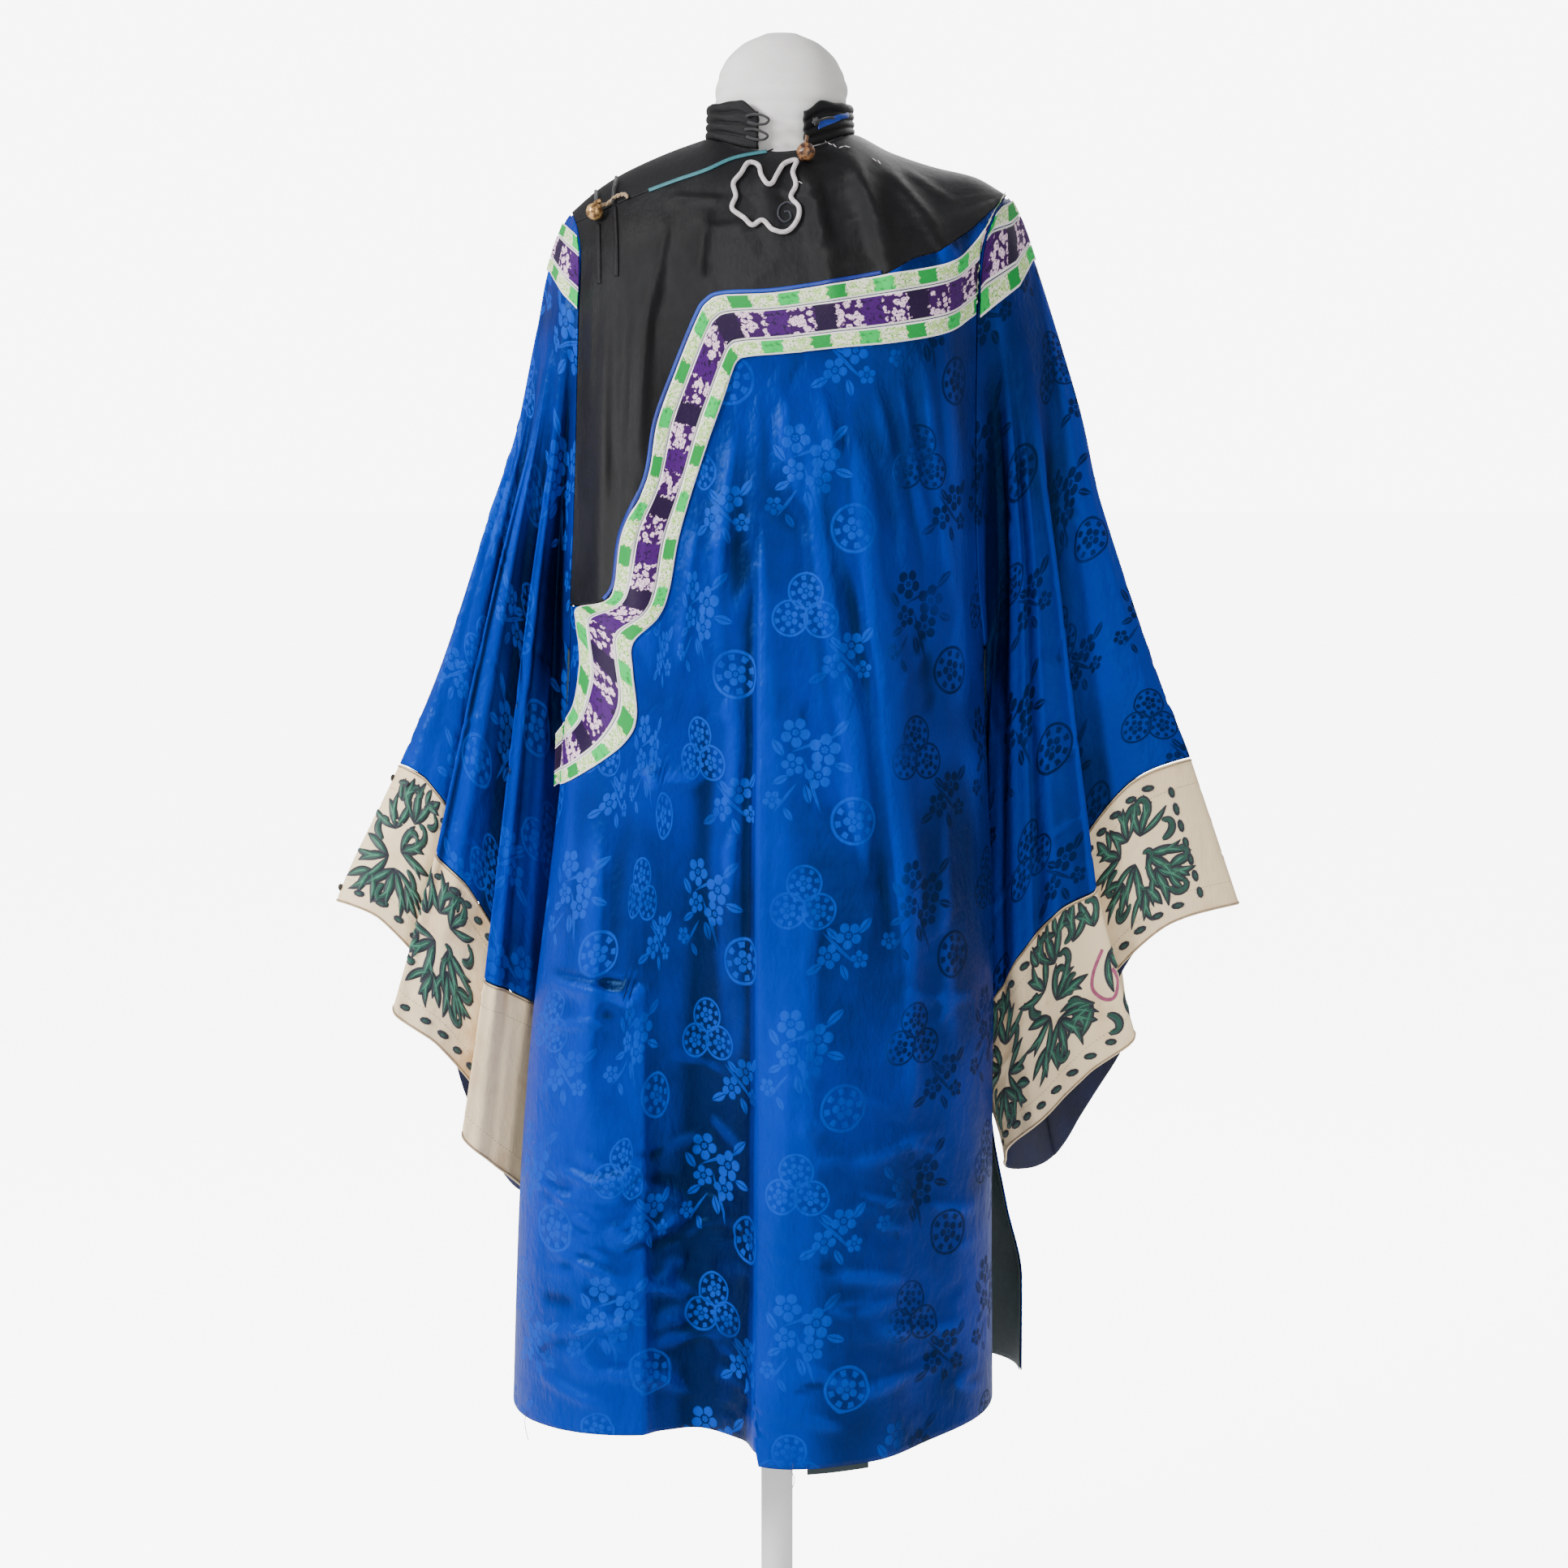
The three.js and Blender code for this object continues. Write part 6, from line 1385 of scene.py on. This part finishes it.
markDone = addNode(markTree, "GeometryNodeSetMaterial",
                   {"Geometry": markReal, "Material": markIn["Thread"]}).outputs[0]
addNode(markTree, "NodeGroupOutput", {"Geometry": markDone})


def sewnMarks(name, places, ways, outs, material, slotName, length, width, height, uneven=0.2, seed=4):
    mesh = bpy.data.meshes.new(name)
    mesh.from_pydata((np.asarray(places) / 1000).tolist(), [], [])
    for attribute, values in (("way", ways), ("outward", outs)):
        layer = mesh.attributes.new(attribute, "FLOAT_VECTOR", "POINT")
        layer.data.foreach_set("vector", np.asarray(values, float).ravel())
    made = bpy.data.objects.new(name, mesh)
    bpy.context.scene.collection.objects.link(made)
    modifier = made.modifiers.new("marks", "NODES")
    modifier.node_group = markTree
    settings = {"Length": length / 1000, "Width": width / 1000, "Height": height / 1000, "Uneven": uneven,
                "Seed": seed}
    for key, value in settings.items():
        modifier[markInputs[key]] = value
    modifier[markInputs["Thread"]] = material
    depsgraph = bpy.context.evaluated_depsgraph_get()
    plain = bpy.data.meshes.new_from_object(made.evaluated_get(depsgraph))
    made.modifiers.clear()
    made.data = plain
    plain.polygons.foreach_set("use_smooth", [True] * len(plain.polygons))
    return finished(made, slotName)


def spaced(path, gap):  # places along a path at an even distance
    along = runs(path)
    at = np.arange(0, along[-1], gap)
    return np.stack([np.interp(at, along, path[:, k]) for k in range(3)], -1)


cloudSpots = spaced(cloudPath, 3.4)
cloudOuts = np.tile([0.0, -1.0, 0.0], (len(cloudSpots), 1))
cloudWays = np.cross(waysAlong(cloudSpots), cloudOuts)
sewnMarks("cloudStitches", cloudSpots, cloudWays, cloudOuts, threads["rose"], "cream_satin", 3.6, 0.7, 3.5)
strayMarks = ((40, 1399, 3, -4), (44, 1396, 4, -2), (48, 1394, 4, -4), (53, 1393, 3, 1), (58, 1393.5, 4, -1),
              (80, 1383, 4, -3), (84, 1381, 3, -4), (20, 1362, 3, -2))
strayPlaces = [onFront(x, z - 8, 0.5) for x, z, _, _ in strayMarks]
strayWays = [[dx, 0, dz] for _, _, dx, dz in strayMarks]
strayOuts = np.tile([0.0, -1.0, 0.3], (len(strayMarks), 1))
sewnMarks("strayStitches", strayPlaces, strayWays, strayOuts, threads["white"], "cream_satin", 5.5, 0.8, 0.8)
print("stitches set")

# ---- embroidery on the cuffs: leaves and curls of this robe's own drawing, raised in thread
cuffSet = {
    "markGap": 19.0, "markIn": 13.0, "seamIn": 22.0, "middleDown": 68.0,
    # crown, height and share of the width of each layer of thread
    "leafLayers": {"ink": (0.35, 0.12, 1.0), "leaf": (0.4, 0.42, 0.56), "pale": (0.3, 0.72, 0.2)},
    "curlLayers": {"ink": (0.35, 0.12, 1.0), "leaf": (0.4, 0.42, 0.5)},
}


class CuffMap:  # from distances along the cuff and down from the silk to places and directions on it
    def __init__(self, word):
        self.points, self.normals = cuffGrids[word]
        self.rows, self.cols = self.points.shape[:2]
        self.along = runs(self.points[self.rows // 2])
        self.depth = np.linalg.norm(np.diff(self.points, axis=0), axis=2).sum(0)

    def columnAt(self, along):
        return np.interp(along, self.along, np.arange(self.cols))

    def depthAt(self, along):
        return np.interp(self.columnAt(along), np.arange(self.cols), self.depth)

    def at(self, along, down, off):
        column = self.columnAt(along)
        row = np.clip(down / self.depthAt(along), 0.01, 0.99) * (self.rows - 1)
        i, j = np.clip(row.astype(int), 0, self.rows - 2), np.clip(column.astype(int), 0, self.cols - 2)
        s, t = (row - i)[..., None], (column - j)[..., None]

        def look(grid):
            return mix(mix(grid[i, j], grid[i, j + 1], t), mix(grid[i + 1, j], grid[i + 1, j + 1], t), s)

        normal = unit(look(self.normals))
        return look(self.points) + normal * np.asarray(off)[..., None], normal

    def markRow(self, along, down, off, ahead):  # places, ways and outward ways for sewn marks
        spots, normals = self.at(along, down, off)
        return spots, self.at(along + ahead[0], down + ahead[1], off)[0] - spots, normals

    def alongAt(self, fold):
        return float(np.interp(fold * fan["perFold"], np.arange(self.cols), self.along))


def strokeGrid(path, widths, crown, base):  # a raised stroke of thread: flat places and heights
    ways = waysAlong(path)
    square = np.stack([-ways[:, 1], ways[:, 0]], -1)
    across = np.linspace(-1, 1, 5)
    flat = path[:, None] + square[:, None] * (np.asarray(widths)[:, None] * across[None])[..., None]
    return flat, base + crown * (1 - across**2)[None] * np.ones((len(path), 1))


def strokePath(u, v, headings, steps):
    return np.stack([start + np.insert(np.cumsum((turned(headings) * steps)[:-1]), 0, 0)
                     for start, turned in ((u, np.cos), (v, np.sin))], -1)


def leafStroke(u, v, angle, length, width, bend, crown, base, shrink):
    t = np.linspace(0, 1, 11)
    path = strokePath(u, v, angle + bend * (t - 0.5), length / 10)
    middle = path.mean(0)
    widths = width * shrink * np.sin(math.pi * np.clip(t, 0.02, 0.98)) ** 0.75 / 2
    return strokeGrid(middle + (path - middle) * mix(shrink, 1, 0.45), widths, crown, base)


def curlStroke(u, v, angle, size, turn, width, crown, base, shrink):
    t = np.linspace(0, 1, 15)
    path = strokePath(u, v, angle + turn * t**1.3, size * (1.25 - 0.95 * t) / 8)
    widths = width * shrink * (0.35 + 0.65 * np.sin(math.pi * t**0.6) + 0.25 * (t > 0.85)) / 2
    return strokeGrid(path, widths, crown, base)


# a spray for a panel: bunches of leaves (u, v, angle, count, spread, length) and curls (u, v, angle, size, turn, width)
tallSpray = {
    "bunches": [(-6, 26, 82, 3, 50, 30), (8, 14, 60, 3, 70, 26), (-2, 0, 150, 4, 80, 26), (6, -8, -20, 3, 70, 26),
                (-2, -14, 255, 5, 90, 30), (12, 36, 100, 2, 50, 18), (-14, -18, 215, 2, 50, 20),
                (14, -24, -70, 3, 60, 22), (-12, 44, 130, 2, 60, 16)],
    "curls": [(4, 34, 60, 20, 240, 7.5), (-12, 14, 150, 18, -240, 7), (15, 2, 20, 19, 240, 7.5),
              (-12, -8, 190, 18, 240, 7), (2, -30, -60, 17, -240, 7), (-4, 8, 80, 16, 250, 7),
              (-18, 34, 170, 14, -230, 6)],
}
wideSpray = {
    "bunches": [(-16, 18, 150, 4, 80, 28), (-6, 24, 95, 3, 60, 26), (6, 20, 60, 3, 60, 26), (-4, 4, 240, 4, 80, 30),
                (8, 4, -40, 4, 70, 32), (12, -10, -65, 4, 70, 28), (-18, -2, 200, 3, 70, 24),
                (22, -16, -25, 3, 70, 20), (0, -18, 262, 3, 60, 24), (-26, 30, 120, 2, 50, 18)],
    "curls": [(-6, 34, 70, 19, -240, 7.5), (12, 28, 40, 20, 240, 7.5), (24, 8, 10, 18, 240, 7.5),
              (-22, 12, 170, 18, 240, 7), (28, -14, -10, 17, 240, 7), (20, -30, -60, 16, 240, 7),
              (-16, -20, 220, 17, -240, 7), (4, -6, 20, 15, 240, 6.5)],
}
softSpray = {
    "bunches": [(-14, 30, 75, 2, 40, 26), (6, 34, 110, 2, 60, 20), (12, 12, -60, 3, 60, 24), (-8, -18, 200, 3, 60, 24),
                (14, -26, -20, 3, 60, 22)],
    "curls": [(4, 38, 30, 18, 240, 7), (-16, 8, 180, 15, 240, 6), (0, -30, -30, 16, -240, 7)],
    "stem": [(8, 16), (-2, 4), (-6, -8), (0, -18), (8, -20), (14, -10), (12, 0)],
}
cuffPanels = {
    # the panel's middle as a fold line, its spray, its size, and whether it is turned over
    "left": [(8.1, tallSpray, 1.1, 1), (5.35, wideSpray, 1.15, -1), (10.4, tallSpray, 1.1, -1),
             (12.2, tallSpray, 1.05, 1)],
    "right": [(5.9, wideSpray, 1.08, 1), (3.5, softSpray, 1.2, 1), (2.6, tallSpray, 1.15, -1),
              (1.2, tallSpray, 1.1, 1), (8.1, wideSpray, 1.0, -1), (10.9, tallSpray, 1.1, 1)],
}
markSpans = {"left": [(4.1, 6.0), (7.0, 13.4)], "right": [(0.5, 4.0), (5.0, 6.45), (7.6, 12.4)]}


def sprayLeaves(spray):  # u, v, angle, length, width and bend of each leaf
    for u, v, angle, count, spread, length in spray["bunches"]:
        for k in range(count + 1):
            lean = angle + (k / count - 0.5) * (spread * 1.15)
            reach = length * (1.22 - 0.2 * ((k + count + 1) % 2))
            yield u, v, math.radians(lean), reach, 6.6 + 1.6 * (k % 2), math.radians(38 * (-1) ** k + 8 * k)


def strokesOf(spray):  # the strokes of each thread's layer
    strokes = {"ink": [], "leaf": [], "pale": [], "rose": []}
    for leaf in sprayLeaves(spray):
        for layer, facts in cuffSet["leafLayers"].items():
            strokes[layer].append(leafStroke(*leaf, *facts))
    for u, v, angle, size, turn, width in spray["curls"]:
        for layer, facts in cuffSet["curlLayers"].items():
            strokes[layer].append(curlStroke(u, v, math.radians(angle), size, math.radians(turn), width, *facts))
    if "stem" in spray:
        stem = smoothPath(spray["stem"], 6)
        strokes["rose"].append(strokeGrid(stem, np.full(len(stem), 1.3), 0.4, 0.1))
    return strokes


def strokeMesh(cuff, centre, strokes, scale, over):
    parts = []
    for flat, height in strokes:
        u, v = flat[..., 0] * scale * over, flat[..., 1] * scale
        placed, _ = cuff.at(centre + u, cuffSet["middleDown"] - v, height)
        rows, cols = placed.shape[:2]
        faces = quadsOf(np.arange(rows * cols).reshape(rows, cols), (0, 3, 2, 1))
        parts.append((placed.reshape(-1, 3).tolist(), faces.tolist()))
    return joined(parts)


for word in ("left", "right"):
    cuff = CuffMap(word)
    layers = {"ink": [], "leaf": [], "pale": [], "rose": []}
    for fold, spray, scale, over in cuffPanels[word]:
        for layer, strokes in strokesOf(spray).items():
            layers[layer].append(strokeMesh(cuff, cuff.alongAt(fold), strokes, scale, over))
    for layer, parts in layers.items():
        points, faces = joined(parts)
        if not faces:
            continue
        made = makeObject(f"{word}Embroidery{layer.capitalize()}", points, faces, threads[layer])
        shell = made.modifiers.new("thickness", "SOLIDIFY")
        shell.thickness, shell.offset = 0.0002, 0
        finished(made, "cream_satin")
    marks = []
    for low, high in markSpans[word]:
        at = np.arange(cuff.alongAt(low) + 8, cuff.alongAt(high) - 4, cuffSet["markGap"])
        for down in (np.full(len(at), cuffSet["markIn"]), cuff.depthAt(at) - cuffSet["markIn"]):
            marks.append(cuff.markRow(at, down, 0.4, (2, 0.5)))
    if word == "right":  # one row runs down the panel, beside its plain end
        downs = np.arange(24, 120, cuffSet["markGap"] * 0.8)
        marks.append(cuff.markRow(np.full(len(downs), cuff.alongAt(6.45)), downs, 0.4, (0, 2)))
    places, ways, outs = (np.concatenate(column) for column in zip(*marks))
    sewnMarks(f"{word}CuffMarks", places, ways, outs, threads["ink"], "cream_satin", 13.0, 6.4, 1.5, 0.2, 7)
    middles = places + outs * 0.5
    sewnMarks(f"{word}CuffMarkHearts", middles, ways, outs, threads["leaf"], "cream_satin", 7.5, 2.6, 1.0, 0.3, 8)
    at = np.linspace(0.5, cuff.along[-1] - 0.5, 420)  # a bound edge at the silk and at the mouth
    edges = [tube(cuff.at(at, cuff.depthAt(at) * share, 0.25)[0], 0.7, 6) for share in (0.012, 0.988)]
    cordPiece(f"{word}CuffEdges", edges, threads["tan"], "cream_satin")
    at = np.arange(2, cuff.along[-1] - 2, 3.4)  # a sewn line inside each row of marks
    seams = [cuff.markRow(at, down, 0.1, (1, 0)) for down in (cuffSet["seamIn"], cuff.depthAt(at) - cuffSet["seamIn"])]
    places, ways, outs = (np.concatenate(column) for column in zip(*seams))
    sewnMarks(f"{word}CuffStitches", places, ways, outs, threads["tan"], "cream_satin", 2.6, 0.45, 0.35, 0.15, 9)
print("cuffs embroidered")

# ---- the dress form: a cloth-covered torso with a wrapped neck and a domed cap, on a painted pole and base
formSet = {
    "rows": [(760, 146, 96, 80), (800, 154, 104, 84), (860, 154, 102, 84), (1010, 126, 92, 78), (1180, 146, 106, 86),
             (1280, 150, 96, 90), (1325, 146, 82, 80), (1353, 122, 68, 67), (1371, 86, 58, 58), (1385, 54, 49.4, 49.8),
             (1400, 51.8, 48, 48), (1435, 55, 47, 47), (1458, 48, 43, 43), (1474, 33, 31, 31), (1483, 14, 13, 13)],
    "sides": 96, "middle": 4.0, "poleRadius": 14.0, "baseRadius": 150.0, "baseHeight": 12.0,
}
formHalf, formFront, formBack = columnsOf(formSet["rows"])


def lathePiece(name, rings, sides, material, slotName, node, shapeAt=None):
    turns = np.linspace(0, 2 * math.pi, sides, endpoint=False)
    points = []
    for ring in rings:
        points.extend(shapeAt(ring, turns) if shapeAt
                      else [[ring[0] * math.cos(a), ring[0] * math.sin(a), ring[1]] for a in turns])
    faces = ringQuads(len(rings), sides, order=(0, 3, 2, 1))
    faces += [list(range(sides - 1, -1, -1)), list(range(len(points) - sides, len(points)))]
    uvs = [[points[v][0] / 1000, points[v][2] / 1000] for face in faces for v in face]
    return finished(makeObject(name, points, faces, material, uvs=uvs), slotName, node)


def formRing(z, turns):
    power = 2 / 2.2
    c = np.sign(np.cos(turns)) * np.abs(np.cos(turns)) ** power
    d = np.sign(np.sin(turns)) * np.abs(np.sin(turns)) ** power
    wrap = ease(1384, 1392, z) * (1 - ease(1448, 1460, z))
    ridge = 0.9 * wrap * np.abs(np.sin((z + 7 * np.sin(turns)) / 4.6)) - 0.5 * wrap
    crush = 0.4 * wrap * np.sin(turns * 5 + z / 6)
    out = 1 + (ridge + crush) / 50
    x = formSet["middle"] + formHalf(z) * c * out
    y = np.where(d < 0, formFront(z), formBack(z)) * d * out
    return np.stack([x, y, np.full(len(turns), z)], -1).tolist()


formHeights = np.concatenate([np.linspace(760, 1380, 70), np.linspace(1382, 1460, 70),
                              1460 + 23 * np.sin(np.linspace(0.05, math.pi / 2, 22))])
lathePiece("dressForm", formHeights, formSet["sides"], looks["form"], "form_cloth", "form_torso", formRing)
poleR, poleTop = formSet["poleRadius"], 759.7
lathePiece("standPole", [(poleR - 0.6, 12.3), (poleR, 13.2), (poleR, 400), (poleR, poleTop - 0.8),
                         (poleR - 0.6, poleTop)], 48, looks["paint"],
           "stand_paint", "form_pole")
baseR, baseH = formSet["baseRadius"], formSet["baseHeight"]
lathePiece("standBase", [(baseR - 1, 0), (baseR, 1.2), (baseR - 0.8, 4), (baseR - 3.5, 9), (baseR - 6, 11.4),
                         (baseR - 9, baseH), (20, baseH)], 120,
           looks["paint"], "stand_paint", "form_base")
print("dress form and stand made")

# ---- loose thread ends at the hems
threadPaths = ([(-214, 322, 1.0), (-215, 312, 1.4), (-213, 303, 2.0), (-211, 298, 2.2)],
               [(14, 311, 1.0), (13, 304, 1.5), (15, 297, 2.2), (13, 290, 2.4)])
strayThreads = [tube(smoothPath([onFront(*spot) for spot in path], 8), 0.3, 5) for path in threadPaths]
cordPiece("looseThreads", strayThreads, threads["blue"], "blue_silk")

# ---- the floor
floorMesh = bpy.data.meshes.new("floor")
floorMesh.from_pydata([(-40, -40, 0), (40, -40, 0), (40, 40, 0), (-40, 40, 0)], [], [(0, 1, 2, 3)])
floorMesh.materials.append(floorMaterial)
floorObject = bpy.data.objects.new("floor", floorMesh)
bpy.context.scene.collection.objects.link(floorObject)

# ---- the cut of each cloth, measured on it
for made, points, held, restsOn in sheets:
    width, length, area = sheetFacts(points)
print("sheets declared:", len(sheets))
